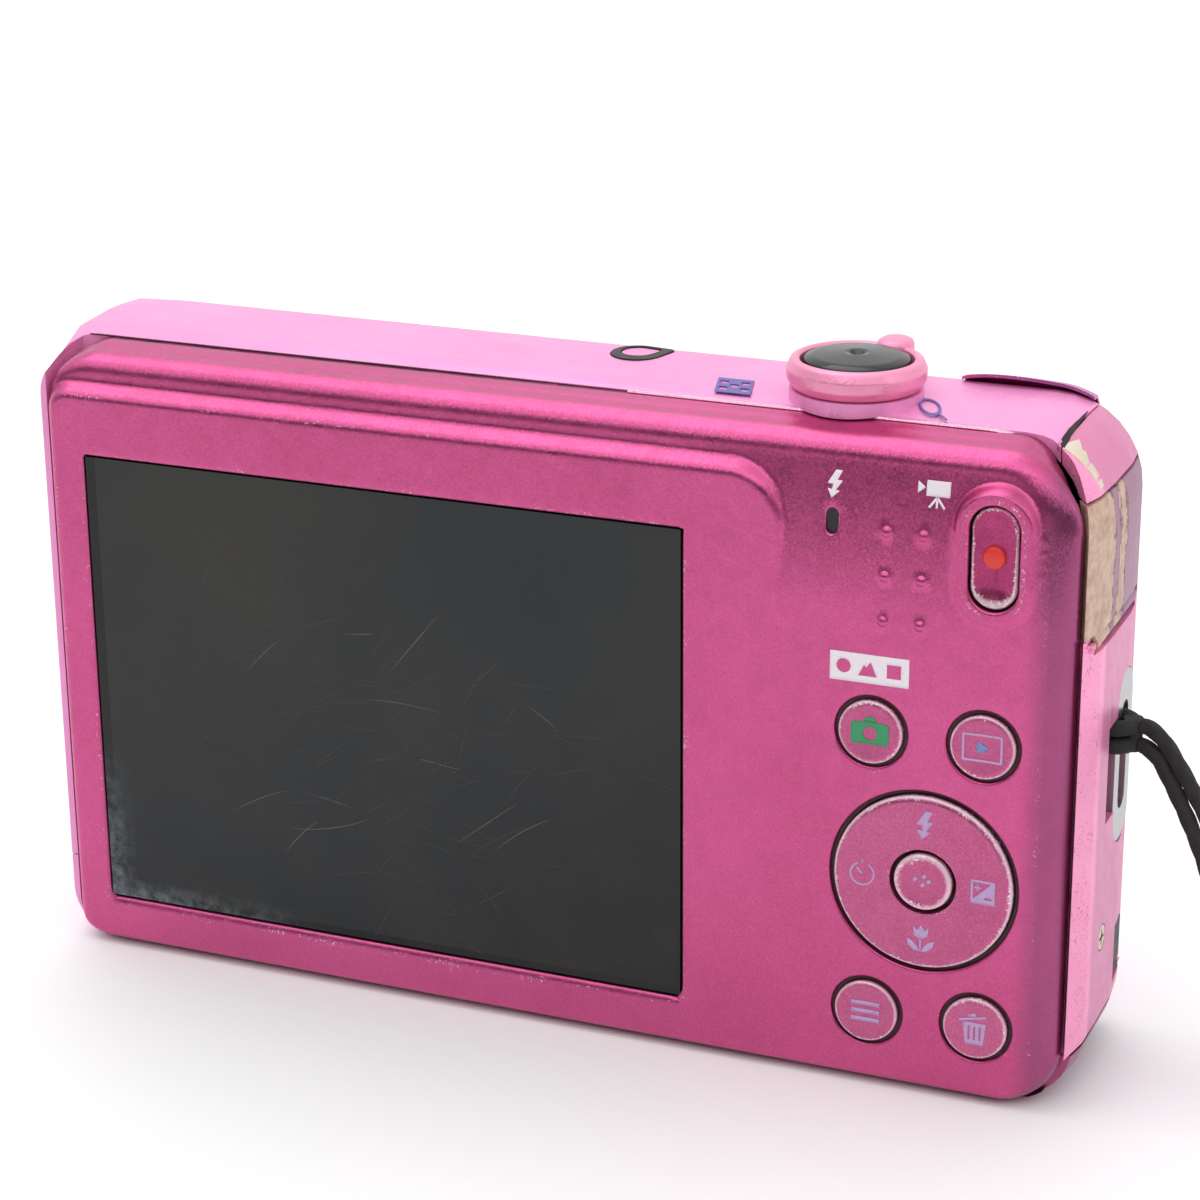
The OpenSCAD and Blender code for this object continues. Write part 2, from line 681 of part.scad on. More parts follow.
// Half the tooth's angle on the pitch circle
function half_at(teeth, slack) = 90 / teeth - slack / (gear_module * teeth) * 180 / PI;
function gear_points(teeth, slack) = let(
    r = gear_module * teeth / 2,
    base = r * cos(pressure),
    tip = r + 0.8 * gear_module,
    root = r - 1.1 * gear_module,
    low = max(base, root + 0.05),
    foot = half_at(teeth, slack) - spread(base, low) + spread(base, r),
    half = half_at(teeth, slack) + spread(base, r),
    flank = [for (i = [0:3]) let(s = low + (tip - low) * i / 3) [s, half - spread(base, s)]]
) [for (k = [0:teeth - 1]) let(a = 360 * k / teeth)
    each concat(
        [turned([root, 0], a - foot)],
        [for (f = flank) turned([f[0], 0], a - f[1])],
        [for (i = [3:-1:0]) turned([flank[i][0], 0], a + flank[i][1])],
        [turned([root, 0], a + foot)])];

module gear(x, z, teeth, turn, y0, y1, slack) {
    translate([x, y1, z]) rotate([90, 0, 0]) rotate([0, 0, turn])
        linear_extrude(y1 - y0) polygon(gear_points(teeth, slack));
}

module lens_tube(r_out, r_in, y0, y1) {
    difference() {
        rod_y(lens_x, lens_z, r_out, y0, y1);
        rod_y(lens_x, lens_z, r_in, y0 - 1, y1 + 1);
    }
}

module lens_housing() color(plastic_black) difference() {
    union() {
        rod_y(lens_x, lens_z, housing_r + 1.6, housing_y0, housing_y1);
        // Foot of the gear case
        rod_y(pinion_x, pinion_z, pinion_r + 1.6, housing_y0, gear_y1 + 0.4);
        // Ears for the screws
        for (e = EARS) rod_y(e[0], e[1], 2.2, housing_y0 - 0.35, housing_y0 + 0.8);
    }
    rod_y(lens_x, lens_z, housing_r, gear_y1, far);
    rod_y(lens_x, lens_z, groove_r, gear_y0 - 0.3, gear_y1 + 0.2);
    rod_y(pinion_x, pinion_z, pinion_r + 0.7, gear_y0 - 0.3, gear_y1 + 1);
    rod_y(pinion_x, pinion_z, 0.45, -far, far);
    block([lens_x - 6, -far, lens_z - 5], [lens_x + 6, 0, lens_z + 5]);
    for (e = EARS) rod_y(e[0], e[1], 0.6, -far, far);
}

module cam_ring() color([0.3, 0.3, 0.32]) difference() {
    union() {
        rod_y(lens_x, lens_z, housing_r - barrel_gap, gear_y1 - 0.2, 8.2);
        gear(lens_x, lens_z, cam_teeth, mesh_angle, gear_y0, gear_y1 - 0.1, 0.06);
    }
    rod_y(lens_x, lens_z, cam_r, -far, far);
}

middle_r = cam_r - barrel_gap;
middle_y0 = -3.6;
module middle_barrel() color([0.35, 0.35, 0.37]) {
    lens_tube(middle_r, barrel_r + barrel_gap, middle_y0, 9.6);
    lens_tube(middle_r, 5, middle_y0, middle_y0 + 1);
}

barrel_y1 = 10.6;
blade_y = 9.25;
module front_barrel() color([0.6, 0.6, 0.62]) {
    lens_tube(barrel_r, barrel_r - 0.8, -2.3, barrel_y1);
    lens_tube(barrel_r, aperture_r, barrel_y1 - 0.8, barrel_y1);
    lens_tube(barrel_r, aperture_r + 1, 8.1, 9.05);
    lens_tube(barrel_r, 6.9, 4, 5.2);
    for (side = [-1, 1]) rod_y(lens_x + side * 9.6, lens_z, 0.5, 9, barrel_y1 - 0.7);
}

// Half disc with an arm to its pivot; the other blade is the same, half a turn round
module blade() {
    difference() {
        union() {
            intersection() {
                rod_y(0, 0, aperture_r + 0.4, 0, 0.35);
                block([-far, -1, 0.05], [far, 1, far]);
            }
            block([4, 0, 0.05], [9.6, 0.35, 1.1]);
            rod_y(9.6, 0, 1.1, 0, 0.35);
        }
        rod_y(9.6, 0, 0.56, -1, 1);
    }
}
module barrier_blade_a() color(plastic_black) translate([lens_x, blade_y, lens_z]) blade();
module barrier_blade_b() color(plastic_black) translate([lens_x, blade_y, lens_z]) rotate([0, 180, 0]) blade();

// Lens element turned about the optical axis: a flat edge between two shallow domes
function dome(r, radius, y, way) =
    [for (i = [0:8]) let(x = r * i / 8) [x, y + way * (sqrt(radius * radius - x * x) - sqrt(radius * radius - r * r))]];
module element(r, edge_y0, edge_y1, radius) {
    low = dome(r, radius, edge_y0, -1);
    high = dome(r, radius, edge_y1, 1);
    translate([lens_x, 0, lens_z]) rotate([-90, 0, 0])
        rotate_extrude() polygon(concat(low, [for (i = [8:-1:0]) high[i]]));
}
module front_lens() color([0.6, 0.75, 0.8, 0.5]) element(6.85, 4.1, 5.1, 16);
module rear_lens() color([0.6, 0.75, 0.8, 0.5]) element(4.95, middle_y0 + 0.3, middle_y0 + 0.9, 22);

module image_sensor() color([0.15, 0.2, 0.35]) {
    block([lens_x - 5.4, housing_y0 - 0.3, lens_z - 4.4], [lens_x + 5.4, housing_y0 + 0.6, lens_z + 4.4]);
}

module zoom_motor() color(steel) {
    rod_y(pinion_x, pinion_z, 2.9, gear_y1 + 1.2, 8.2);
    rod_y(pinion_x, pinion_z, 0.4, housing_y0 + 0.2, gear_y1 + 1.3);
}

module motor_pinion() color([0.85, 0.8, 0.55]) difference() {
    gear(pinion_x, pinion_z, pinion_teeth, mesh_angle + 180 + 180 / pinion_teeth,
        gear_y0, gear_y1 - 0.35, 0.06);
    rod_y(pinion_x, pinion_z, 0.45, -far, far);
}

// ---- Flash, lamp and speaker ----
module flash_window() color([0.9, 0.92, 0.95, 0.6]) {
    block([7.5, 8.7, 47], [17.5, front_y - 0.1, 51.8]);
}
module flash_unit() color([0.85, 0.85, 0.87]) difference() {
    block([6.6, 3.6, 46.2], [18.4, 8.6, 52.6]);
    hull() {
        block([7.6, 8.4, 47.1], [17.4, 9, 51.7]);
        block([8.6, 4.6, 48.6], [16.4, 4.8, 50.2]);
    }
}
module flash_capacitor() color(plastic_black) rod_z(8.7, 4.2, 3, 8, 36);
module af_lamp() color([0.9, 0.5, 0.2, 0.7]) rod_y(22.4, 50.4, 1.65, 6.2, front_y - 0.1);
module speaker() color(plastic_black) {
    rod_y(-40, 46, 4, 6.6, 8.4);
    rod_y(-40, 46, 3, 8.3, 8.9);
}

// ---- Battery, card and door ----
battery_x0 = 12.9;
battery_x1 = battery_x0 + battery_w;
battery_z0 = 2.8;
battery_z1 = battery_z0 + battery_h;
battery_y0 = -0.3;
battery_y1 = battery_y0 + battery_t;
chamber_x0 = 12.1;
chamber_x1 = 45.2;
chamber_z0 = 2.7;
chamber_z1 = 44.4;
chamber_wall = 0.45;
latch_x = 12.5;
latch_y0 = 1.2;
latch_y1 = 4.4;

pin_y = 7.3;
pin_z = 1;
knuckle_r = 0.95;
lug_x0 = 14.4;
lug_x1 = 44.5;
lug_w = 1.2;

module battery_chamber() color(plastic_black) difference() {
    union() {
        block([chamber_x0, battery_y0 - 0.15 - chamber_wall, chamber_z0],
            [chamber_x1, battery_y1 + 0.15 + chamber_wall, chamber_z1]);
        // Lugs that hold the door's pin
        for (x = [lug_x0, lug_x1 - lug_w])
            block([x, battery_y1 + 0.6, pin_z - 0.5], [x + lug_w, pin_y + 0.8, chamber_z0 + 1.5]);
    }
    block([battery_x0 - 0.2, battery_y0 - 0.15, -1], [battery_x1 + 0.2, battery_y1 + 0.15, 43.6]);
    rod_x(pin_y, pin_z, 0.43, lug_x0 - 1, lug_x1 + 1);
    // Way for the latch
    block([11, latch_y0 - 0.15, -1], [battery_x0 + 1, latch_y1 + 0.15, 7.2]);
}

module battery() color([0.2, 0.2, 0.24]) {
    block([battery_x0, battery_y0, battery_z0], [battery_x1, battery_y1, battery_z1]);
}

// Spring latch that holds the battery in by its lower edge
module battery_latch() color([0.95, 0.45, 0.1]) {
    block([latch_x - 1.1, latch_y0, 1.95], [latch_x + 1.5, latch_y1, 2.6]);
    block([latch_x - 1.1, latch_y0, 1.95], [latch_x - 0.1, latch_y1, 7]);
}

card_x0 = 17.5;
card_y0 = -3.75;
card_z0 = 3;
module card_slot() color(steel) difference() {
    block([card_x0 - 0.6, card_y0 - 0.45, 5], [card_x0 + card_w + 0.6, card_y0 + card_t + 0.45, 37]);
    block([card_x0 - 0.2, card_y0 - 0.15, 0], [card_x0 + card_w + 0.2, card_y0 + card_t + 0.15, 36]);
}
module memory_card() color([0.15, 0.2, 0.5]) slab(
    [[card_x0, card_z0], [card_x0 + card_w, card_z0], [card_x0 + card_w, card_z0 + card_h],
        [card_x0 + 4, card_z0 + card_h], [card_x0, card_z0 + card_h - 4]], card_y0, card_y0 + card_t);

door_slide = 2.5;
plate_z0 = 1.35;
plate_z1 = 1.75;
STUDS = [[22, -3], [36, -3]];
stud_r = 0.9;
// Plate that turns on the pin and carries the sliding door
module door_hinge() color(steel) difference() {
    union() {
        rod_x(pin_y, pin_z, knuckle_r, lug_x0 + lug_w + 0.2, lug_x1 - lug_w - 0.2);
        block([lug_x0 + lug_w + 0.2, -6, plate_z0], [lug_x1 - lug_w - 0.2, pin_y, plate_z1]);
    }
    rod_x(pin_y, pin_z, 0.48, 0, far);
    for (s = STUDS) {
        block([s[0] - stud_r - 0.1, s[1] - stud_r - 0.1, 0],
            [s[0] + door_slide + stud_r + 0.1, s[1] + stud_r + 0.1, 5]);
    }
}

module battery_door() color(rear_pink) {
    difference() {
        intersection() {
            band();
            slab([[door_x0, -1], [far, -1], [far, door_z1 - 0.3], [46, door_z1 - 0.3],
                [44.6, 2.4], [43.4, 1.25], [door_x0, 1.25]], -8.15, pin_y - 0.4);
        }
        block([40, -far, 1.25], [far, -7.2, far]);
        // Room for the hinge and its lugs
        block([0, pin_y - knuckle_r - 0.25, -1], [lug_x1 + 1.2, far, 5]);
    }
    for (s = STUDS) {
        rod_z(s[0], s[1], stud_r, 1.1, 2);
        rod_z(s[0], s[1], stud_r + 0.6, 1.85, 2.2);
    }
}

// ---- Side ----
module connector_flap() color([0.78, 0.6, 0.62]) difference() {
    union() {
        intersection() {
            band();
            block([45, rear_y + 1.6, flap_hinge_z + 0.8], [far, 7.35, flap_z1 - 0.3]);
        }
        rod_y(hinge_x, flap_hinge_z, 0.72, -6.4, 6.4);
        intersection() {
            body_outside();
            block([47, -6.4, flap_hinge_z], [48.3, 6.4, flap_hinge_z + 1.2]);
        }
    }
    rod_y(hinge_x, flap_hinge_z, 0.38, -far, far);
}

module power_cover() color(plastic_black) difference() {
    union() {
        intersection() {
            band();
            block([45, cover_y0 + 0.12, cover_hinge_z + 0.6], [48.3, front_seam_y - 0.25, cover_z1 - 0.25]);
        }
        rod_y(hinge_x, cover_hinge_z, 0.5, cover_y0 + 0.12, 7.4);
        block([47.35, cover_y0 + 0.12, cover_hinge_z], [48.05, 7.4, cover_hinge_z + 0.9]);
    }
    rod_y(hinge_x, cover_hinge_z, 0.3, -far, far);
}

module av_usb_jack() color(steel) difference() {
    block([40.6, -3.7, 44.6], [45.9, -0.7, 51]);
    block([41.6, -3.3, 45.1], [far, -1.1, 50.5]);
}

module eyelet_plate() color(steel) difference() {
    oval_x(eyelet_y, eyelet_z, 2.65, 7.75, eyelet_x, eyelet_x + 0.7);
    oval_x(eyelet_y + 0.1, eyelet_z, 1.15, 4.9, 0, far);
}

module screw_x(y, z, face, length) {
    difference() {
        union() {
            rod_x(y, z, 1.1, face - 0.45, face);
            rod_x(y, z, 0.55, face - length, face - 0.4);
        }
        for (turn = [0, 90]) translate([face, y, z]) rotate([turn, 0, 0])
            cube([0.5, 1.5, 0.3], center = true);
    }
}
module screw_z(x, y, face, length) {
    difference() {
        union() {
            rod_z(x, y, 1.1, face, face + 0.45);
            rod_z(x, y, 0.55, face + 0.4, face + length);
        }
        for (turn = [0, 90]) translate([x, y, face]) rotate([0, 0, turn])
            cube([1.5, 0.3, 0.5], center = true);
    }
}
module screws_and_pins() color([0.7, 0.66, 0.58]) {
    rod_x(pin_y, pin_z, 0.4, lug_x0 + 0.1, lug_x1 - 0.1);
    rod_y(hinge_x, flap_hinge_z, 0.3, -7.1, 7.1);
    rod_y(hinge_x, cover_hinge_z, 0.25, cover_y0 - 0.4, 7.9);
    screw_x(side_screw[0], side_screw[1], half_w - 0.02, 3.2);
    for (x = FOOT_SCREWS) screw_z(x, 2, 0.02, 3.6);
    // Screws that hold the lens to the chassis
    for (e = EARS) {
        rod_y(e[0], e[1], 0.55, chassis_y, housing_y0 + 0.9);
        rod_y(e[0], e[1], 1, housing_y0 + 0.82, housing_y0 + 1.4);
    }
}

// ---- Strap ----
cord_r = cord_d / 2;
loop_r = loop_d / 2;
hitch_z = 30.4;
bar_x = eyelet_x + 0.35;
bar_y = 2.55;

// Sweep of a round tube along a list of points
function unit(v) = v / norm(v);
function heading(p, i) = unit(p[min(i + 1, len(p) - 1)] - p[max(i - 1, 0)]);
function side_of(t) = unit(cross(t, abs(t[2]) > 0.9 ? [0, 1, 0] : [0, 0, 1]));
function tube_ring(p, i, r, n) = let(t = heading(p, i), u = side_of(t), v = cross(u, t))
    [for (k = [0:n - 1]) p[i] + r * (u * cos(360 * k / n) + v * sin(360 * k / n))];
module tube(p, r, n) {
    last = len(p) - 1;
    points = [for (i = [0:last]) each tube_ring(p, i, r, n)];
    walls = [for (i = [0:last - 1], k = [0:n - 1])
        [i * n + k, i * n + (k + 1) % n, (i + 1) * n + (k + 1) % n, (i + 1) * n + k]];
    ends = [[for (k = [n - 1:-1:0]) k], [for (k = [0:n - 1]) last * n + k]];
    polyhedron(points, concat(walls, ends));
}

// Two passes round the eyelet's bar, gathered in front of it
module strap_hitch() color(dark) {
    for (z = [hitch_z - 0.8, hitch_z + 0.8]) translate([bar_x, bar_y, z])
        rotate_extrude() translate([1.56, 0]) circle(r = cord_r, $fn = 24);
    rod_z(bar_x + 1.56, bar_y, cord_r + 0.15, hitch_z - 1.4, hitch_z + 1.4);
}

// The two thin runs fall from the hitch to the end piece, which lies on the ground
ROUTE_A = [[50.3, 2.5, 31.2], [51, 2.5, 31.1], [51.7, 2.4, 30.7], [52.5, 2.3, 30], [53.3, 2.1, 29],
    [54.6, 1.9, 27.1], [55.9, 1.7, 25], [57, 1.6, 23], [58, 1.5, 20.9], [59, 1.5, 18.3], [59.9, 1.5, 15.4],
    [60.7, 1.5, 12.3], [61.6, 1.6, 9.2], [62.7, 1.7, 6.2], [64.2, 1.8, 3.8], [66, 1.8, 2.5], [68, 1.8, 2.1],
    [70, 1.8, 2.1]];
ROUTE_B = [[50.3, 2.3, 29.6], [51, 2.2, 29.4], [51.7, 2.1, 28.9], [52.4, 2, 28.1], [53.1, 1.8, 27],
    [54.2, 1.5, 25.2], [55.3, 1.2, 23.2], [56.4, 0.8, 21], [57.5, 0.3, 18.4], [58.5, -0.1, 15.8],
    [59.6, -0.5, 12.8], [60.8, -0.8, 9.6], [62.2, -1, 6.4], [63.9, -1, 3.9], [65.8, -1, 2.5], [68, -1, 2.1],
    [70, -1, 2.1]];
module strap_cords() color(dark) {
    tube(ROUTE_A, cord_r, 8);
    tube(ROUTE_B, cord_r, 8);
}

end_y = 0.4;
end_x0 = 70;
end_x1 = 79;
end_z = 2.1;
module strap_end() color(plastic_black) {
    for (side = [-1.4, 1.4]) rod_x(end_y + side, end_z, end_z - 0.05, end_x0, end_x1);
    block([end_x0, end_y - 1.4, 0.05], [end_x1, end_y + 1.4, 2 * end_z - 0.05]);
}

// The wrist loop leaves the end piece, is wound into a long coil and returns to it
hank_x0 = 98;
hank_x1 = 112;
hank_r = 8;
hank_turns = 3;
hank_z = loop_r + 0.2;
pitch_z = loop_d + 0.1;
// A point of the coil after t turns, which start at the left end of the far run
function hank(t) = let(
    round_part = PI * hank_r,
    run = hank_x1 - hank_x0,
    s = (t - floor(t)) * 2 * (run + round_part),
    z = hank_z + pitch_z * t
) s < run ? [hank_x0 + s, end_y + hank_r, z]
    : s < run + round_part ? let(a = 90 - (s - run) / round_part * 180)
        [hank_x1 + hank_r * cos(a), end_y + hank_r * sin(a), z]
    : s < 2 * run + round_part ? [hank_x1 - (s - run - round_part), end_y - hank_r, z]
    : let(a = 270 - (s - 2 * run - round_part) / round_part * 180)
        [hank_x0 + hank_r * cos(a), end_y + hank_r * sin(a), z];
hank_steps = 16;
LOOP = concat(
    [[79, 1.8, 2.1], [80.5, 1.9, 2], [83.5, 2.6, 1.4], [87, 4.2, 1.05], [91, 6.2, 1], [95, 7.8, 1]],
    [for (i = [0:hank_steps * hank_turns - 5]) hank(i / hank_steps)],
    [[94, -6.6, 6.3], [90, -4.6, 5.8], [86, -2.6, 4.2], [83, -1.5, 2.8], [80.5, -1, 2.15], [79, -1, 2.1]]);
module strap_loop() color(dark) tube(LOOP, loop_r, 8);

// Band that holds the wound loop together
module strap_tie() color(dark) {
    tie_z = hank_z + pitch_z * hank_turns + loop_r + 0.1;
    difference() {
        block([103, end_y - hank_r - loop_r - 0.55, 0], [107, end_y + hank_r + loop_r + 0.55, tie_z + 0.2]);
        block([102, end_y - hank_r - loop_r - 0.15, 0.15], [108, end_y + hank_r + loop_r + 0.15, tie_z]);
    }
}

rear_cover();
front_cover();
top_cover();
side_cover();
bottom_cover();
chassis();
lcd_window();
lcd_panel();
lcd_backlight();
main_board();
key_flex();
mode_button();
playback_button();
menu_button();
delete_button();
movie_button();
selector_ring();
selector_gimbal();
ok_button();
flash_ready_lamp();
power_button();
power_ring();
shutter_button();
zoom_lever();
top_board();
lens_housing();
cam_ring();
middle_barrel();
front_barrel();
barrier_blade_a();
barrier_blade_b();
front_lens();
rear_lens();
image_sensor();
lens_ring();
zoom_motor();
motor_pinion();
flash_window();
flash_unit();
flash_capacitor();
af_lamp();
speaker();
battery_chamber();
battery();
battery_latch();
card_slot();
memory_card();
door_hinge();
battery_door();
tripod_socket();
connector_flap();
av_usb_jack();
power_cover();
eyelet_plate();
screws_and_pins();
strap_hitch();
strap_cords();
strap_end();
strap_loop();
strap_tie();
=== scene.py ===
"""Looks of the compact digital camera: pink painted metal, worn keys, scratched screen, wrist strap."""

import math
from math import cos, pi, radians, sin

import bmesh
import bpy
import numpy as np
from mathutils import Matrix, Vector
from mathutils.geometry import delaunay_2d_cdt


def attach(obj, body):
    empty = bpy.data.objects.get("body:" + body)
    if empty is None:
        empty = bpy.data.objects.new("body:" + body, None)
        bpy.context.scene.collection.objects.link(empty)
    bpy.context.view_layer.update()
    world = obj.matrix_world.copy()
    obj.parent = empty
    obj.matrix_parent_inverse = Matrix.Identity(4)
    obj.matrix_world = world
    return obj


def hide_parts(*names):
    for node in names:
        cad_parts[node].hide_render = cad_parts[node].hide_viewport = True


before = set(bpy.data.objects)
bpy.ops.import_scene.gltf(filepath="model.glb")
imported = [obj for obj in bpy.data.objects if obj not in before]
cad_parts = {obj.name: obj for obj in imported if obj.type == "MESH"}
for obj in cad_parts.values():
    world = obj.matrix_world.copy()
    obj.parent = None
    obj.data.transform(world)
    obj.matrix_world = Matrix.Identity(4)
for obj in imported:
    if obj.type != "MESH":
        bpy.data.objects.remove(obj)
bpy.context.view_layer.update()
scene = bpy.context.scene
MM = 0.001
rng = np.random.default_rng(7)

# Places on the camera, in millimetres
REAR_Y = -9.95
STEP_Y = -8.6
TOP_Z = 57.9
SCREEN = (-42.9, 14.0, 5.1, 47.9)
PANEL = (-46.9, 23.4, -4, 54.3)
KEYS = {"mode": (30.71, 32.43), "playback": (40.25, 32.48), "menu": (30.87, 7.02), "delete": (40.4, 7.17)}
SELECTOR = (35.5, 19.7)
MOVIE = (40.6, 48.6)
LAMP = (26.84, 49.97)
DOTS = [(x, z) for x in (31.5, 34.6) for z in (42.15, 45.95, 49.65)]
ZOOM_AT = (25.6, 0.3, 0)
CORNER = (-44, 53.4)

# Top, depth and radius of the dish in each kind of key
DISHES = {
    "key": (REAR_Y - 0.3, 0.14, 2.3),
    "selector": (REAR_Y - 0.28, 0.3, 7.2),
    "ok": (REAR_Y - 0.22, 0.16, 2.0),
}
FLAKE_LEAN = 0.12
INK_LIFT = 0.025


# ---- Camera, floor, light


def make_camera():
    """The view of the photograph: a 95 mm lens from the right, a little above."""
    a, e, roll = radians(22.675), radians(19.748), radians(-0.462)
    right = Vector((cos(a), sin(a), 0))
    back = Vector((sin(a) * cos(e), -cos(a) * cos(e), sin(e)))
    up = back.cross(right)
    x_axis = right * cos(roll) + up * sin(roll)
    y_axis = up * cos(roll) - right * sin(roll)
    data = bpy.data.cameras.new("camera")
    data.sensor_width, data.lens, data.clip_start = 36, 95.446, 0.01
    camera = bpy.data.objects.new("camera", data)
    turn = Matrix((x_axis, y_axis, back)).transposed().to_4x4()
    camera.matrix_world = Matrix.Translation(Vector((103.571, -241.699, 130.962)) * MM) @ turn
    scene.collection.objects.link(camera)
    scene.camera = camera


def area_light(name, place, target, size, power, colour=(1, 1, 1)):
    data = bpy.data.lights.new(name, "AREA")
    data.shape, data.size, data.size_y = "RECTANGLE", size[0], size[1]
    data.energy, data.color = power, colour
    lamp = bpy.data.objects.new(name, data)
    lamp.location = place
    lamp.rotation_euler = (Vector(place) - Vector(target)).to_track_quat("Z", "Y").to_euler()
    scene.collection.objects.link(lamp)


def make_floor():
    bpy.ops.mesh.primitive_plane_add(size=6)
    floor = bpy.context.object
    floor.name = "floor"
    floor.data.materials.append(plain_floor())


def make_world():
    """A pale room for the metal paint to reflect: dark behind the viewer at eye level, brighter above."""
    scene.world = bpy.data.worlds.new("world")
    room = Look(scene.world, "Background")
    where = room.add("SeparateXYZ", Vector=room.add("TexCoord").outputs["Generated"]).outputs
    behind = room.ramp(where["Y"], -0.75, 0.2, 1.0, 0.0)
    low = room.ramp(where["Z"], 0.3, 0.55, 1.0, 0.0)
    high = room.times(behind, room.ramp(where["Z"], 0.5, 0.72))
    level = room.ramp(room.times(behind, low), 0, 1, 0.96, 0.07)
    level = room.add("Math", {"operation": "MULTIPLY_ADD"}, i0=high, i1=0.75, i2=level).outputs[0]
    room.set(Strength=level, Color=(1, 1, 1, 1))


def make_stage():
    """White floor, pale room and soft light from above, the back and the right."""
    make_floor()
    make_world()
    middle = (0, 0, 0.03)
    area_light("key", (-0.2, 0.1, 0.7), middle, (0.7, 0.5), 1.5)
    area_light("front", (0.1, -0.75, 0.75), (0, -0.25, 0), (0.8, 0.3), 0.45)
    area_light("side", (0.7, -0.1, 0.35), middle, (0.3, 0.5), 0.35)
    scene.view_settings.view_transform = "Standard"


# ---- Node helpers


class Look:
    """The nodes of a material or of the world. Each input takes a value or another node's output."""

    def __init__(self, owner, shader="Principled BSDF"):
        self.made = bpy.data.materials.new(owner) if isinstance(owner, str) else owner
        self.made.use_nodes = True
        self.tree = self.made.node_tree
        self.shader = self.tree.nodes[shader]

    def fill_in(self, node, inputs):
        for key, value in inputs.items():
            socket = node.inputs[int(key[1:]) if key[1:].isdigit() else key.replace("_", " ")]
            if isinstance(value, bpy.types.NodeSocket):
                self.tree.links.new(value, socket)
            else:
                socket.default_value = value

    def set(self, **inputs):
        """Inputs of the shader itself."""
        self.fill_in(self.shader, inputs)

    def add(self, kind, props=None, **inputs):
        node = self.tree.nodes.new("ShaderNode" + kind)
        for key, value in (props or {}).items():
            setattr(node, key, value)
        self.fill_in(node, inputs)
        return node

    def place(self, scale=(1, 1, 1)):
        """Object coordinates in millimetres, stretched."""
        where = self.add("TexCoord").outputs["Object"]
        return self.add("Mapping", Vector=where, Scale=tuple(1000 * s for s in scale)).outputs[0]

    def along(self, axis):
        """The place along an axis, in millimetres."""
        return self.add("SeparateXYZ", Vector=self.place()).outputs[axis]

    def noise(self, scale, detail=3, rough=0.55, stretch=(1, 1, 1)):
        where = self.place(stretch)
        return self.add("TexNoise", Vector=where, Scale=scale, Detail=detail, Roughness=rough).outputs["Fac"]

    def ramp(self, fac, low, high, out_low=0.0, out_high=1.0):
        """Fac from low to high, clamped, spread over the output range."""
        ends = {"From_Min": low, "From_Max": high, "To_Min": out_low, "To_Max": out_high}
        return self.add("MapRange", {"clamp": True}, Value=fac, **ends).outputs[0]

    def maths(self, how, a, b=0.0, clamp=False):
        return self.add("Math", {"operation": how, "use_clamp": clamp}, i0=a, i1=b).outputs[0]

    def times(self, a, b):
        return self.maths("MULTIPLY", a, b, True)

    def vector(self, how, a, **more):
        return self.add("VectorMath", {"operation": how}, i0=a, **more).outputs[0]

    def mix(self, fac, a, b):
        """Two colours; one with three numbers is a screen colour."""
        a, b = (rgb(*c) if isinstance(c, tuple) and len(c) == 3 else c for c in (a, b))
        return self.add("Mix", {"data_type": "RGBA"}, i0=fac, i6=a, i7=b).outputs[2]

    def bump(self, height, strength, distance, **normal):
        node = self.add("Bump", Height=height, Strength=strength, Distance=distance, **normal)
        self.set(Normal=node.outputs[0])


def rgb(r, g, b):
    """Screen colour, 0 to 255, as a linear colour."""
    lin = [v / 255 / 12.92 if v < 10 else ((v / 255 + 0.055) / 1.055) ** 2.4 for v in (r, g, b)]
    return (*lin, 1)


def shaded(colour, by):
    return tuple(c * by for c in colour[:3]) + (1,)


# ---- Materials


def plain_floor():
    mat = Look("floor")
    pale = mat.mix(mat.noise(0.02), (244, 244, 245), (249, 249, 250))
    # Painted shade: the floor turns grey from 160 to 620 mm on the rear side, as if the light fell off there.
    # The metal paint reflects it.
    far = mat.ramp(mat.along("Y"), -160, -620)
    mat.set(Base_Color=mat.mix(far, pale, (160, 160, 162)), Roughness=0.55)
    return mat.made


def leaning(mat, grains):
    """The surface's direction, tilted a little in each flake."""
    lean = mat.vector("SCALE", mat.vector("SUBTRACT", grains, i1=(0.5, 0.5, 0.5)), Scale=FLAKE_LEAN)
    normal = mat.add("NewGeometry").outputs["Normal"]
    return mat.vector("NORMALIZE", mat.vector("ADD", normal, i1=lean))


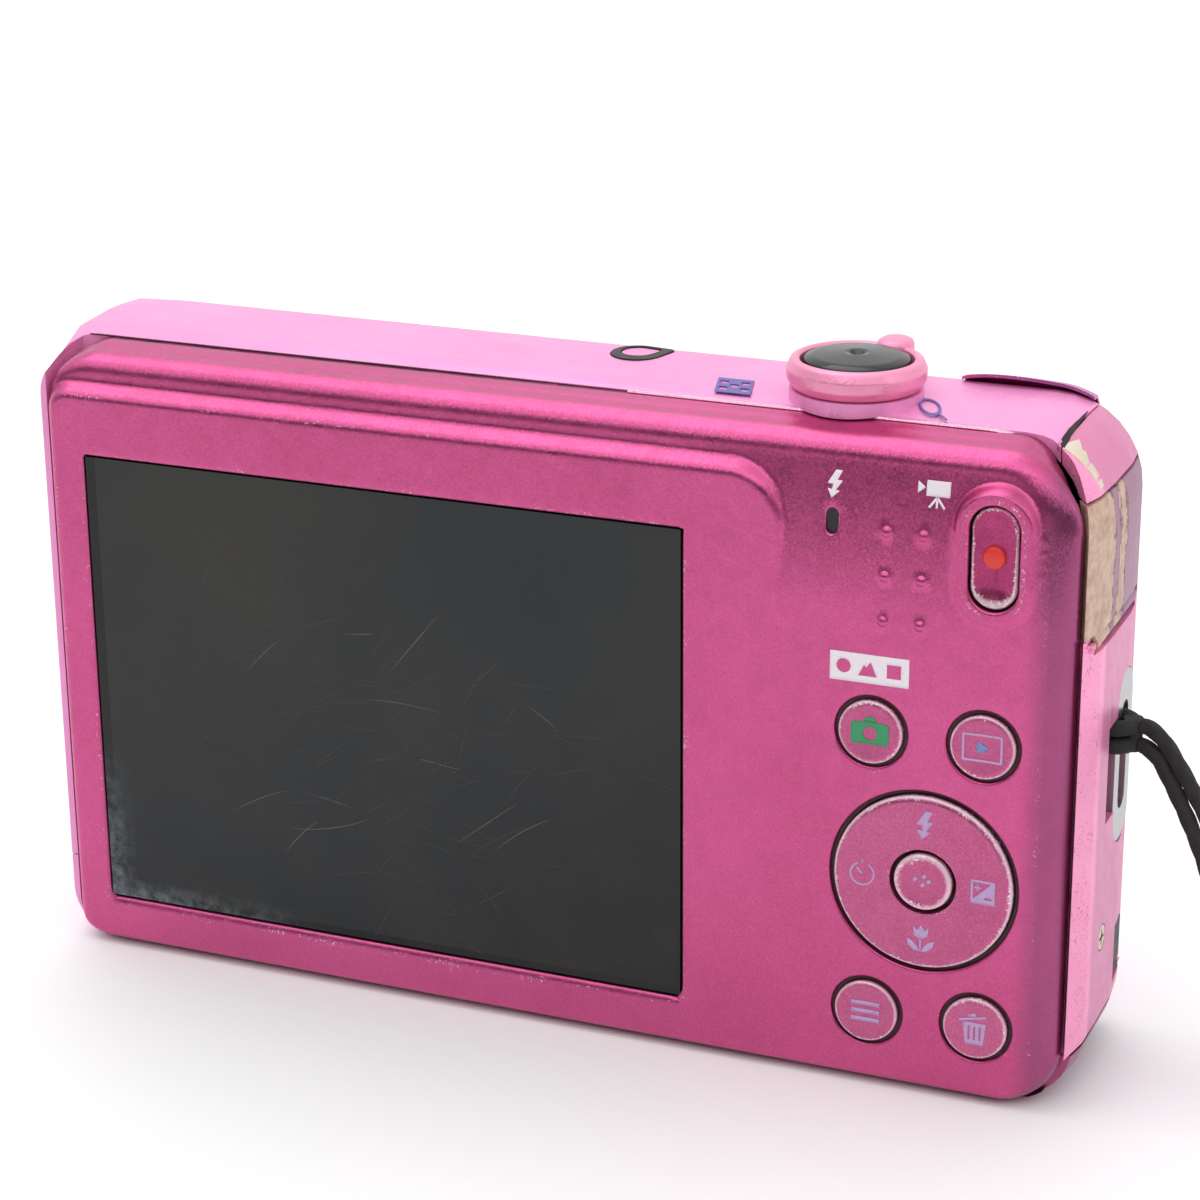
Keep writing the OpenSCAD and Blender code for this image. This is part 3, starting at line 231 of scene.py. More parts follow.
def pink_paint(name, colour, pale, flake, metallic, wear=1, rough=0.32, coat=0, worn=(226, 204, 212),
               band=None, darker_tone=None):
    """Metallic paint: close tones, flakes that each lean their own way, and pale specks where wear is high.

    The wear comes from the mesh, or from the place along Y if band gives the ends and the wear there.
    darker_tone gives an axis, its ends, the strength and the tone that the paint turns to along it: painted
    shade, where a face is turned from the light."""
    mat = Look(name)
    tone = mat.mix(mat.ramp(mat.noise(0.07, 5), 0.35, 0.65), colour, pale)
    grains = mat.add("TexVoronoi", Vector=mat.place(), Scale=9.0).outputs["Color"]
    spark = mat.times(mat.ramp(grains, 0.3, 0.95), flake)
    tone = mat.mix(spark, tone, (250, 160, 205))
    smudge = mat.ramp(mat.noise(0.22, 6, 0.7), 0.5, 0.75, 0, 0.22)
    tone = mat.mix(smudge, tone, shaded(rgb(*colour), 0.72))
    if band:
        edge = mat.ramp(mat.along("Y"), *band)
    else:
        edge = mat.times(mat.add("Attribute", {"attribute_name": "wear"}).outputs["Fac"], wear)
    specks = mat.ramp(mat.noise(4.2, 6, 0.75), 0.42, 0.68)
    patches = mat.ramp(mat.noise(0.35, 4, 0.6), 0.35, 0.65, 0.55, 1.0)
    worn_off = mat.times(mat.times(edge, patches), specks)
    chipped = mat.ramp(worn_off, 0.33, 0.42)
    bare = mat.ramp(edge, 0.8, 1.0, 0, 0.7)
    tone = mat.mix(bare, mat.mix(chipped, tone, worn), worn)
    chipped = mat.maths("MAXIMUM", chipped, bare)
    # Painted shade: the paint turns darker along one axis, where a face turns away from the light.
    if darker_tone:
        axis, start, end, strength, shade = darker_tone
        tone = mat.mix(mat.ramp(mat.along(axis), start, end, 0, strength), tone, shade)
    shine = mat.ramp(mat.noise(0.6, 5), 0.3, 0.75, rough - 0.05, rough + 0.1)
    mat.set(Base_Color=tone, Roughness=shine, Metallic=mat.ramp(chipped, 0, 1, metallic, 0.1))
    mat.set(Coat_Weight=coat, Coat_Roughness=0.28)
    height = mat.maths("SUBTRACT", mat.noise(9, 2), mat.times(chipped, 0.8))
    mat.bump(height, 0.1, 0.00005, Normal=leaning(mat, grains))
    return mat.made


def plastic(name, colour, other, rough=0.4, grain=6.0, strength=0.1):
    """Moulded plastic: two close tones and a fine grain."""
    mat = Look(name)
    tone = mat.mix(mat.ramp(mat.noise(0.25, 5), 0.35, 0.65), colour, other)
    shine = mat.ramp(mat.noise(1.1, 4), 0.3, 0.7, rough - 0.06, rough + 0.08)
    mat.set(Base_Color=tone, Roughness=shine)
    mat.bump(mat.noise(grain, 3), strength, 0.00005)
    return mat.made


def metal(name, colour, rough, brush=(1, 1, 1)):
    """Bare metal with a brushed or cast grain and a few darker stains."""
    mat = Look(name)
    lines = mat.noise(5, 4, stretch=brush)
    stain = mat.ramp(mat.noise(0.12, 5, 0.65), 0.45, 0.7)
    tone = mat.mix(mat.times(stain, 0.16), (*colour, 1), shaded(colour, 0.62))
    shine = mat.ramp(lines, 0.3, 0.7, rough - 0.08, rough + 0.12)
    mat.set(Base_Color=tone, Metallic=1.0, Roughness=shine)
    mat.bump(lines, 0.08, 0.00005)
    return mat.made


def clear(name, colour, rough=0.06):
    """Glass or clear plastic with a tint."""
    mat = Look(name)
    tone = mat.mix(mat.noise(0.3), (*colour, 1), shaded(colour, 0.9))
    shine = mat.ramp(mat.noise(1.2, 4), 0.4, 0.7, rough, rough + 0.08)
    mat.set(Base_Color=tone, Transmission_Weight=0.9, Roughness=shine)
    return mat.made


def screen_glass():
    """Dark display behind a clear plate: a black border, a dirty lower left corner, fine haze, and painted
    shade that darkens it towards the lower right.
    """
    mat = Look("screen")
    x, z = mat.along("X"), mat.along("Z")
    left, low = SCREEN[0], SCREEN[2]
    base = mat.mix(mat.ramp(mat.noise(0.03, 2), 0.35, 0.65), (22, 27, 31), (36, 36, 34))
    # Painted shade: the display darkens towards the lower right.
    deep = mat.times(mat.ramp(x, -12, 14), mat.ramp(z, 34, 6))
    base = mat.mix(deep, base, (8, 8, 10))
    shown = mat.times(mat.ramp(x, left + 1.0, left + 1.05), mat.ramp(z, low + 0.75, low + 0.8))
    base = mat.mix(shown, (2, 2, 2), base)
    dirt = mat.maths("MAXIMUM", mat.ramp(x, left, left + 3, 1, 0), mat.ramp(z, low, low + 2, 1, 0))
    dirt = mat.times(dirt, mat.ramp(x, left + 4, left + 22, 1, 0))
    dirt = mat.times(dirt, mat.ramp(z, low + 2, low + 15, 1, 0))
    haze = mat.times(dirt, mat.ramp(mat.noise(0.8, 6, 0.7), 0.4, 0.7))
    base = mat.mix(mat.times(haze, 0.6), base, (158, 172, 182))
    film = mat.ramp(mat.noise(0.07, 5, 0.6), 0.4, 0.7)
    base = mat.mix(mat.times(film, 0.05), base, (120, 112, 100))
    shine = mat.ramp(mat.maths("MAXIMUM", film, haze), 0, 1, 0.12, 0.34)
    mat.set(Base_Color=base, Roughness=shine, Specular_IOR_Level=0.36)
    mat.bump(mat.noise(0.6, 3), 0.02, 0.00003)
    return mat.made


def flap_paint():
    """Flap whose paint came off in strips, down to the cream plastic, with ragged dark lines between."""
    mat = Look("flap")
    ragged = mat.ramp(mat.noise(1.1, 6, 0.7, stretch=(1, 1, 0.45)), 0, 1, -2.6, 2.6)
    y = mat.maths("ADD", mat.along("Y"), ragged)
    grain = mat.noise(0.9, 6, 0.65)
    mauve = mat.mix(grain, (146, 100, 130), (178, 134, 158))
    cream = mat.mix(mat.ramp(grain, 0.35, 0.65), (178, 138, 122), (214, 184, 162))
    tone = mat.mix(mat.ramp(y, -2.5, -2.4), cream, mauve)
    tone = mat.mix(mat.ramp(y, -1.1, -1.0), tone, cream)
    tone = mat.mix(mat.ramp(y, 1.3, 1.4), tone, mauve)
    for edge in (-2.45, -1.05, 1.35):
        near = mat.add("Math", {"operation": "ABSOLUTE"}, i0=mat.maths("SUBTRACT", y, edge)).outputs[0]
        tone = mat.mix(mat.ramp(near, 0.1, 0.22, 0.85, 0), tone, (70, 40, 50))
    mat.set(Base_Color=tone, Roughness=mat.ramp(grain, 0.3, 0.7, 0.42, 0.6))
    mat.bump(mat.maths("ADD", mat.ramp(y, 1.3, 1.5), grain, True), 0.35, 0.00008)
    return mat.made


def cord_weave(name):
    mat = Look(name)
    fibre = mat.noise(12, 4)
    tone = mat.mix(fibre, (8, 8, 9), (58, 57, 58))
    mat.set(Base_Color=tone, Roughness=0.75, Specular_IOR_Level=0.3, Sheen_Weight=0.06)
    mat.bump(fibre, 0.4, 0.00008)
    return mat.made


def print_ink(name, colour, under, hold):
    """Printed sign whose ink is rubbed through to the surface under it, less of it with a higher hold."""
    mat = Look(name)
    rubbed = mat.ramp(mat.noise(3.2, 6, 0.75), hold, hold + 0.12)
    mat.set(Base_Color=mat.mix(rubbed, colour, under), Roughness=0.45)
    return mat.made


# ---- Mesh helpers


def piece(name, points, faces, mat, body="camera", replaces=None, wear=None, sharp=40):
    """A mesh given in millimetres that rides on a body."""
    mesh = bpy.data.meshes.new(name)
    spots = [tuple(float(c) * MM for c in p) for p in points]
    mesh.from_pydata(spots, [], [tuple(map(int, f)) for f in faces])
    mesh.validate()
    if wear is not None:
        layer = mesh.attributes.new("wear", "FLOAT", "POINT")
        layer.data.foreach_set("value", np.asarray(wear, np.float32))
    mesh.polygons.foreach_set("use_smooth", [True] * len(mesh.polygons))
    mesh.set_sharp_from_angle(angle=radians(sharp))
    obj = bpy.data.objects.new(name, mesh)
    scene.collection.objects.link(obj)
    mesh.materials.append(mat)
    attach(obj, body)
    if replaces:
        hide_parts(replaces)
    return obj


def bridge(rings, closed=True):
    """Points and faces of a skin over rings that have the same number of points."""
    count, last = len(rings[0]), len(rings) - 1
    faces = []
    for r in range(last):
        for k in range(count):
            j = (k + 1) % count
            faces.append((r * count + k, r * count + j, (r + 1) * count + j, (r + 1) * count + k))
    if closed:
        faces.append(tuple(reversed(range(count))))
        faces.append(tuple(range(last * count, (last + 1) * count)))
    return np.concatenate(rings), faces


def skin(name, rings, mat, body="camera", replaces=None, wear=None, closed=True, sharp=40):
    """The skin over rings as a piece. Its wear is a function of X, Y and Z."""
    points, faces = bridge(rings, closed)
    piece(name, points, faces, mat, body, replaces, wear and wear(*points.T), sharp)


def fillet(points, radii, steps=5):
    """An open line with its inner corners rounded; the corners past the last of the radii get 0.05."""
    radii = [*radii, *[0.05] * (len(points) - 2 - len(radii))]
    line = [np.array(points[0], float)]
    for before, corner, after, r in zip(points, points[1:], points[2:], radii):
        before, corner, after = (np.array(p, float) for p in (before, corner, after))
        u, v = before - corner, after - corner
        lu, lv = np.linalg.norm(u), np.linalg.norm(v)
        u, v = u / lu, v / lv
        half = math.acos(np.clip(u @ v, -1, 1)) / 2
        reach = min(r / math.tan(half), lu * 0.49, lv * 0.49)
        for i in range(steps + 1):
            t = i / steps
            start, end = corner + u * reach, corner + v * reach
            line.append((1 - t) ** 2 * start + 2 * t * (1 - t) * corner + t * t * end)
    line.append(np.array(points[-1], float))
    return line


def lathe(profile, centre, axis, count=72):
    """Rings of a turned shape. The profile is (radius, height along the axis)."""
    rings = []
    turn = [2 * pi * k / count for k in range(count)]
    for r, h in profile:
        r = max(r, 0.002)
        if axis == "y":
            ring = [(centre[0] + r * cos(t), h, centre[2] + r * sin(t)) for t in turn]
        else:
            ring = [(centre[0] + r * cos(t), centre[1] + r * sin(t), h) for t in turn]
        rings.append(np.array(ring))
    return rings


def squarer(mesh):
    """The top left corner of the shell drawn out towards the front, where it is fuller than a plain round."""
    for v in mesh.vertices:
        dx, y, dz = CORNER[0] - v.co.x / MM, v.co.y / MM, v.co.z / MM - CORNER[1]
        if dx > 0 and dz > 0:
            r = math.hypot(dx, dz)
            grow = (((dx / r) ** 6 + (dz / r) ** 6) ** (-1 / 6) - 1) * float(smooth((y + 4) / 4))
            v.co.x -= dx * grow * MM
            v.co.z += dz * grow * MM


def from_cad(name, body, mat, replaces, bevel, sharp=32):
    """A CAD node's own shape with its edges eased."""
    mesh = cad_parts[replaces].data.copy()
    bm = bmesh.new()
    bm.from_mesh(mesh)
    bmesh.ops.remove_doubles(bm, verts=bm.verts, dist=2e-6)
    bmesh.ops.dissolve_limit(bm, angle_limit=radians(0.1), verts=bm.verts, edges=bm.edges)
    bm.to_mesh(mesh)
    bm.free()
    if replaces in ("top_cover", "front_cover"):
        squarer(mesh)
    mesh.materials.clear()
    mesh.materials.append(mat)
    obj = bpy.data.objects.new(name, mesh)
    scene.collection.objects.link(obj)
    mesh.polygons.foreach_set("use_smooth", [True] * len(mesh.polygons))
    mesh.set_sharp_from_angle(angle=radians(sharp))
    ease = obj.modifiers.new("ease", "BEVEL")
    ease.width, ease.segments, ease.angle_limit = bevel * MM, 2, radians(sharp)
    ease.limit_method, ease.harden_normals, ease.use_clamp_overlap = "ANGLE", True, True
    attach(obj, body)
    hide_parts(replaces)


# ---- Flat lines, in X and Z


def smooth(t):
    t = np.clip(t, 0, 1)
    return t * t * (3 - 2 * t)


def outline(x0, x1, z0, z1, radii, count=96):
    """Rounded box, anticlockwise from the right; the radii are top right, top left, low left, low right."""
    points, n = [], count // 4
    corners = ((x1, z1, -1, -1), (x0, z1, 1, -1), (x0, z0, 1, 1), (x1, z0, -1, 1))
    for k, ((cx, cz, sx, sz), r) in enumerate(zip(corners, radii)):
        for i in range(n):
            a = radians(90 * k + 90 * i / (n - 1))
            points.append((cx + sx * r + r * cos(a), cz + sz * r + r * sin(a)))
    return even(np.array(points), 620)


def even(points, count):
    """The closed line again with evenly spaced points."""
    closed = np.vstack([points, points[:1]])
    walk = np.concatenate([[0], np.cumsum(np.hypot(*np.diff(closed, axis=0).T))])
    at = np.linspace(0, walk[-1], count, endpoint=False)
    return np.stack([np.interp(at, walk, closed[:, i]) for i in (0, 1)], axis=1)


def pill(cx, cz, half_x, half_z, count=64):
    run, n = half_z - half_x, count // 2
    top = [(cx + half_x * cos(t), cz + run + half_x * sin(t)) for t in np.linspace(0, pi, n)]
    low = [(cx + half_x * cos(t), cz - run + half_x * sin(t)) for t in np.linspace(pi, 2 * pi, n)]
    return np.array(top + low)


def circle(cx, cz, r, count=72):
    t = np.linspace(0, 2 * pi, count, endpoint=False)
    return np.stack([cx + r * np.cos(t), cz + r * np.sin(t)], axis=1)


def bar(x0, x1, z0, z1):
    return np.array([(x0, z0), (x1, z0), (x1, z1), (x0, z1)], float)


def stroke(a, b, width):
    """A thin bar from a to b."""
    a, b = np.array(a, float), np.array(b, float)
    side = (b - a)[::-1] * (-1, 1)
    side = side / np.linalg.norm(side) * width / 2
    return np.array([a - side, b - side, b + side, a + side])


def stripe(r, width, start, end, steps=24):
    """Part of a ring, from one angle to another in degrees."""
    a = np.radians(np.linspace(start, end, steps))
    out = np.stack([np.cos(a), np.sin(a)], axis=1)
    return np.concatenate([out * (r + width / 2), out[::-1] * (r - width / 2)])


def inward(points, by):
    """The closed anticlockwise line moved inwards."""
    ahead, behind = np.roll(points, -1, 0), np.roll(points, 1, 0)
    t = ahead - behind
    t = t / np.linalg.norm(t, axis=1, keepdims=True)
    return points + by * np.stack([-t[:, 1], t[:, 0]], axis=1)


def stand(line, y):
    """A flat line set up at the depth y, which is one value or one for each point."""
    return np.column_stack([line[:, 0], np.broadcast_to(y, len(line)), line[:, 1]])


def inside(points, lines):
    """Which points lie inside the first line and outside the others."""
    x, z = points[:, 0], points[:, 1]
    found = np.zeros(len(points), bool)
    for line in lines:
        for (x0, z0), (x1, z1) in zip(line, np.roll(line, -1, 0)):
            if z1 != z0:
                found ^= ((z0 > z) != (z1 > z)) & (x < (x1 - x0) * (z - z0) / (z1 - z0) + x0)
    return found


def fill(lines, free):
    """Points and triangles inside the first line and outside the others; free has the points between them."""
    if len(free):
        free = free[inside(free, lines)]
    loops, start = [], 0
    for line in lines:
        loops.append(list(range(start, start + len(line))))
        start += len(line)
    edges = [(a, b) for loop in loops for a, b in zip(loop, loop[1:] + loop[:1])]
    points = [Vector(p) for p in np.concatenate([*lines, free])]
    flat, _, triangles, *_ = delaunay_2d_cdt(points, edges, [], 0, 1e-7)
    flat = np.array([tuple(p) for p in flat])
    triangles = np.array([t for t in triangles if len(t) == 3])
    return flat, triangles[inside(flat[triangles].mean(axis=1), lines)]


# ---- Rear cover


def inside_panel(x, z):
    """Distance inside the raised panel's rounded outline, positive inside."""
    x0, x1, z0, z1 = PANEL
    cx, cz, hx, hz = (x0 + x1) / 2, (z0 + z1) / 2, (x1 - x0) / 2, (z1 - z0) / 2
    r = np.where((x > cx) & (z > cz), 5.5, np.where(z > cz, 2.6, 3.0))
    qx, qz = np.abs(x - cx) - hx + r, np.abs(z - cz) - hz + r
    return -(np.hypot(np.maximum(qx, 0), np.maximum(qz, 0)) + np.minimum(np.maximum(qx, qz), 0) - r)


def from_pill(x, z, cx, cz, half_x, half_z):
    """Distance outside an upright pill, negative inside."""
    run = half_z - half_x
    return np.hypot(x - cx, np.maximum(np.abs(z - cz) - run, 0)) - half_x


def face_y(x, z):
    """The depth of the rear face over X and Z: the panel, the slope, the movie key's rim and the dots."""
    x, z = np.asarray(x, float), np.asarray(z, float)
    d = inside_panel(x, z)
    d = 0.5 * (d + np.sqrt(d * d + 0.03))
    panel = 1 - np.clip(1 - d / 1.3, 0, 1) ** 2.3
    slope = (1 - np.clip((z - 43) / 12.2, 0, 1) ** 1.6) * smooth((x - 12) / 6)
    joined = 0.5 * (panel + slope + np.sqrt((panel - slope) ** 2 + 0.004)) - 0.016
    raised = np.clip(np.where(x > 12, joined, panel), 0, 1)
    rise = -STEP_Y + (STEP_Y - REAR_Y) * raised
    rim = smooth((1.25 - from_pill(x, z, *MOVIE, 2.5, 4.8)) / 0.7)
    rise = rise * (1 - rim) + (-REAR_Y + 0.18) * rim
    for dx, dz in DOTS:
        rise = rise + 0.3 * np.clip(1 - ((x - dx) ** 2 + (z - dz) ** 2) / 0.46**2, 0, 1) ** 0.7
    return -rise


def face_wear_and_rim_highlight(x, z):
    """Where the paint is rubbed: the panel's crest, the right edge and the window. Round the movie key's rim
    there is a continuous pale line, which is a painted highlight.
    """
    d = inside_panel(x, z)
    crest = np.exp(-(((d - 0.9) / 0.3) ** 2)) * (0.35 + 0.65 * smooth((10 - x) / 30)) * smooth((z - 12) / 20)
    side = np.exp(-(((x - 44.4) / 0.22) ** 2))
    gap_x = np.maximum(SCREEN[0] - x, x - SCREEN[1])
    gap_z = np.maximum(SCREEN[2] - z, z - SCREEN[3])
    window = np.exp(-((np.maximum(gap_x, gap_z) / 0.6) ** 2))
    # Painted highlight: a pale line along the movie key's rim, drawn as bare paint through the wear.
    rim = np.exp(-(((from_pill(x, z, *MOVIE, 2.5, 4.8) - 0.12) / 0.13) ** 2))
    return np.clip(0.3 + 0.34 * crest + 0.27 * side + 0.24 * window + 0.55 * rim, 0, 1)


def cover_wall():
    """Rings from the wall's edge round to the face, and how worn each is.

    The numbers in fours are for the right, top, left and low side; they blend at the corners."""
    outer = outline(-47.0, 47.7, 0.0, 57.4, (6.8, 4.6, 3.5, 5.6))
    step = inward(outer, 1.0) - outer
    sides = [np.maximum(part, 0) ** 2 for part in (-step[:, 0], -step[:, 1], step[:, 0], step[:, 1])]
    blend = lambda values: sum(side * value for side, value in zip(sides, values))
    levels = (-8.4, -7.6, -5.5, -4.0)
    insets = ((0.1, 0.5, 1.9, 4.1), (1.55, 0.85, 0.2, 0.0), (0.0, 0.0, 0.2, 1.2), (0.1, 0.4, 0.4, 0.4))
    set_in = lambda y: blend([np.interp(y, levels, inset) for inset in insets])
    turn_y, width = blend((-7.9, -6.3, -7.9, -7.9)), blend((2.7, 1.75, 0.8, 1.1))
    edge_y = np.interp(outer[:, 1], (0.4, 30, 49), (-7.6, -5.5, -4.0))
    rings, wears = [], []
    for i in range(5):
        y = edge_y + (turn_y - edge_y) * i / 4
        rings.append(stand(outer + step * set_in(y)[:, None], y))
        wears.append(np.full(len(y), 0.62 if i == 0 else 0.3))
    for i in range(1, 13):
        t = radians(90 * i / 12)
        line = outer + step * (set_in(turn_y) + (1 - cos(t)) * width)[:, None]
        rings.append(stand(line, turn_y + (face_y(*line.T) - turn_y) * sin(t)))
        right, left = math.exp(-((i - 11) ** 2)), math.exp(-(((i - 7) / 2) ** 2))
        wears.append(0.3 + 0.3 * sides[0] * right + 0.2 * sides[2] * left)
    return rings, wears


def cover_openings():
    """The line round each opening in the rear cover."""
    x0, x1, z0, z1 = SCREEN[0] - 0.45, SCREEN[1] + 0.45, SCREEN[2] - 1.1, SCREEN[3] + 0.42
    lines = {"screen": even(outline(x0, x1, z0, z1, [0.25] * 4, 32), int(2 * (x1 - x0 + z1 - z0) / 0.8))}
    lines |= {key: circle(*at, 3.14 + 0.22) for key, at in KEYS.items()}
    lines["selector"] = circle(*SELECTOR, 8.11 + 0.25, 128)
    lines["movie"] = pill(*MOVIE, 2.1 + 0.25, 4.45 + 0.25)
    lines["lamp"] = pill(*LAMP, 0.72, 1.28, 32)
    return lines


def cover_rim(name, line):
    """The rounded edge of an opening and the short wall behind it."""
    window = name == "screen"
    drop = np.where(line[:, 1] < SCREEN[2], 0.95, 0.4) if window else np.full(len(line), 0.24)
    depth = 0.42 if window else 0.24
    step = inward(line, 1.0) - line
    rings = []
    for i in range(7):
        t = radians(90 * i / 6)
        rings.append(stand(line + step * (sin(t) * drop)[:, None], face_y(*line.T) + (1 - cos(t)) * depth))
    rings.append(rings[-1] + (0, 0.35 if name == "selector" else 0.75, 0))
    wear = np.repeat([0.6, 0.62, 0.6, 0.5, 0.4, 0.3, 0.1, 0], len(line))
    return *bridge(rings, False), wear * (1.0 if name in ("screen", "movie") else 0.8)


def bends():
    """Extra points where the face bends: the crest, the foot of the top edge, the key's rim and the dots."""
    crest = outline(-46.9, 23.4, -20, 54.3, (5.5, 2.6, 5, 5))
    lines = [even(inward(crest, shift), 640) for shift in np.arange(-0.35, 1.7, 0.16)]
    for z in np.arange(54.7, 55.2, 0.17):
        lines.append(np.stack([np.arange(-44, 44, 0.4), np.full(220, z)], axis=1))
    lines += [pill(*MOVIE, 2.62 + shift, 4.92 + shift, 96) for shift in np.arange(-0.1, 1.4, 0.14)]
    lines += [circle(x, z, r, max(8, int(r * 45))) for x, z in DOTS for r in (0.2, 0.36, 0.45, 0.52)]
    return np.concatenate(lines)


def clear_of(points, others, gap):
    """The points that are further than gap from every other point."""
    cell = lambda p: (int(p[0] // gap), int(p[1] // gap))
    cells = {}
    for p in others:
        cells.setdefault(cell(p), []).append(p)
    keep = []
    for p in points:
        cx, cz = cell(p)
        near = (q for i in (-1, 0, 1) for j in (-1, 0, 1) for q in cells.get((cx + i, cz + j), ()))
        if all((p[0] - q[0]) ** 2 + (p[1] - q[1]) ** 2 > gap * gap for q in near):
            keep.append(p)
    return np.array(keep)


def rear_cover():
    """Pressed cover: a wall round the outline, the face over it, and a rim turned in at each opening."""
    rings, wears = cover_wall()
    openings = cover_openings()
    lines = [rings[-1][:, [0, 2]], *openings.values()]
    borders = np.concatenate(lines)
    close = clear_of(bends(), borders, 0.16)
    xs, zs = np.meshgrid(np.arange(-46.5, 47.5, 0.55), np.arange(0.4, 56.5, 0.5))
    grid = np.stack([xs + 0.275 * (np.round(zs / 0.5) % 2), zs], axis=-1).reshape(-1, 2)
    grid = clear_of(grid, np.concatenate([borders, close]), 0.3)
    flat, triangles = fill(lines, np.concatenate([close, grid]))
    face = (stand(flat, face_y(*flat.T)), triangles, face_wear_and_rim_highlight(*flat.T))
    parts = [(*bridge(rings, False), np.concatenate(wears)), face]
    parts += [cover_rim(name, line) for name, line in openings.items()]
    faces, base = [], 0
    for points, part_faces, _ in parts:
        faces += [tuple(base + k for k in face) for face in part_faces]
        base += len(points)
    points, wear = (np.concatenate([part[k] for part in parts]) for k in (0, 2))
    obj = piece("rear_cover_skin", points, faces, PAINT, "camera", "rear_cover", wear, 50)
    bm = bmesh.new()
    bm.from_mesh(obj.data)
    bmesh.ops.remove_doubles(bm, verts=bm.verts, dist=5e-6)
    bmesh.ops.recalc_face_normals(bm, faces=bm.faces)
    bm.to_mesh(obj.data)
    bm.free()
    obj.data.polygons.foreach_set("use_smooth", [True] * len(obj.data.polygons))
    thick = obj.modifiers.new("thick", "SOLIDIFY")
    thick.thickness, thick.offset = 0.3 * MM, -1


# ---- Keys


def dished(centre, kind):
    """The surface of a dished key: y over X and Z."""
    top, depth, edge = DISHES[kind]
    reach = lambda x, z: np.minimum(np.hypot(x - centre[0], z - centre[1]) / edge, 1.0)
    return lambda x, z: top + depth * (1 - reach(x, z) ** 2)


def crown(kind, start, end, count):
    """The dished part of a key's profile, between two radii."""
    return [(r, dished((0, 0), kind)(r, 0)) for r in np.linspace(start, end, count)]


def turned_key(name, node, body, at, profile, front, wear, count=64, closed=True):
    """A turned key. Before the depth called front its wear is a function of the radius."""
    rubbed = lambda x, y, z: np.where(y < front, wear(np.hypot(x - at[0], z - at[1])), 0.1)
    skin(name, lathe(profile, (at[0], 0, at[1]), "y", count), KEY, body, node, rubbed, closed)


def round_keys():
    top = DISHES["key"][0]
    edge = [(2.3, top), (2.75, top + 0.08), (2.75, -9.05), (3.4, -9.0), (3.4, -8.6), (0, -8.6)]
    profile = crown("key", 0, 2.25, 8) + fillet(edge, (0.25,))
    wear = lambda r: 0.36 + 0.6 * smooth((r - 2.25) / 0.4)
    for key, at in KEYS.items():
        turned_key(f"{key}_key_skin", f"{key}_button", f"{key}_key", at, profile, -9.7, wear)


def selector():
    """The ring with its dished face, and the key in its middle."""
    top = DISHES["selector"][0]
    face = crown("selector", 3.05, 7.2, 14)
    profile = [(2.88, -8.9)] + fillet([(2.88, -9.2), (2.88, face[0][1]), face[0]], (0.1,)) + face[1:]
    edge = [(7.25, top), (7.7, top + 0.22), (7.7, -8.7), (8.4, -8.6), (8.4, -8.4), (2.88, -8.4)]
    profile += fillet(edge, (0.25,))
    wear = lambda r: 0.36 + 0.64 * smooth((r - 7.1) / 0.4) + 0.3 * smooth((3.2 - r) / 0.25)
    turned_key("selector_ring_skin", "selector_ring", "selector", SELECTOR, profile, -9.3, wear, 128, False)
    top = DISHES["ok"][0]
    edge = [(2.0, top), (2.5, top + 0.12), (2.5, -8.3), (3.4, -8.2), (3.4, -7.95), (0, -7.95)]
    profile = crown("ok", 0, 1.95, 7) + fillet(edge, (0.3,))
    wear = lambda r: 0.42 + 0.58 * smooth((r - 1.7) / 0.5)
    turned_key("ok_key_skin", "ok_button", "ok_key", SELECTOR, profile, -9.6, wear)


def key_gaps():
    """Dark ring at the bottom of the gap round each key: painted shade in the gap."""
    # Painted shade: a dark maroon ring fills the floor of each gap.
    dark = plastic("gap", (46, 6, 24), (60, 10, 32), 0.5)
    gaps = [(key, "camera", at, 2.8, 3.3, -9.62) for key, at in KEYS.items()]
    gaps.append(("selector", "camera", SELECTOR, 7.82, 8.3, -9.5))
    gaps.append(("ok", "selector", SELECTOR, 2.56, 2.83, -9.0))
    for key, body, at, r0, r1, y in gaps:
        profile = [(r0, y), (r1, y), (r1, y + 0.1), (r0, y + 0.1), (r0, y)]
        skin(f"{key}_gap", lathe(profile, (at[0], 0, at[1]), "y", 96), dark, body, closed=False)


def movie_key():
    """Long key, hollow in the middle and rubbed at its foot, with a red dot. A pale line round its edge is a
    painted highlight.
    """
    top = REAR_Y + 0.12
    steps = ((1.7, 0.42), (1.2, 0.34), (0.75, 0.16), (0.4, 0.02), (0.15, 0), (0.02, 0.12), (0, 0.35))
    rings = [stand(pill(*MOVIE, 1.93 - inset, 4.28 - inset), top + y) for inset, y in steps]
    rings.append(stand(pill(*MOVIE, 1.93, 4.28), -8.3))

    def rubbed(x, y, z):
        inset = -from_pill(x, z, *MOVIE, 1.93, 4.28)
        wear = 0.3 + 0.75 * smooth((MOVIE[1] - 1.5 - z) / 2.5) * smooth((1.6 - inset) / 1.2)
        # Painted highlight: the wear turns to bare pale paint along the key's edge.
        return np.where(y < -9.3, wear + 0.62 * smooth((0.45 - inset) / 0.3), 0.1)

    skin("movie_key_skin", rings, DEEP, "movie_key", "movie_button", rubbed)
    dot = [(0, REAR_Y + 0.1), (0.85, REAR_Y + 0.16), (1.07, REAR_Y + 0.6), (0, REAR_Y + 0.6)]
    rings = lathe(fillet(dot, (0.3, 0.15)), (MOVIE[0] - 0.1, 0, MOVIE[1]), "y", 40)
    skin("movie_key_dot", rings, plastic("red_dot", (232, 62, 48), (214, 44, 38), 0.35), "movie_key")


# ---- Printed signs


def fine(line):
    """The closed line with a point every 0.12 mm; a very short one stays as it is."""
    length = float(np.linalg.norm(np.roll(line, -1, 0) - line, axis=1).sum())
    return even(line, max(len(line), int(length / 0.12))) if length > 0.5 else line


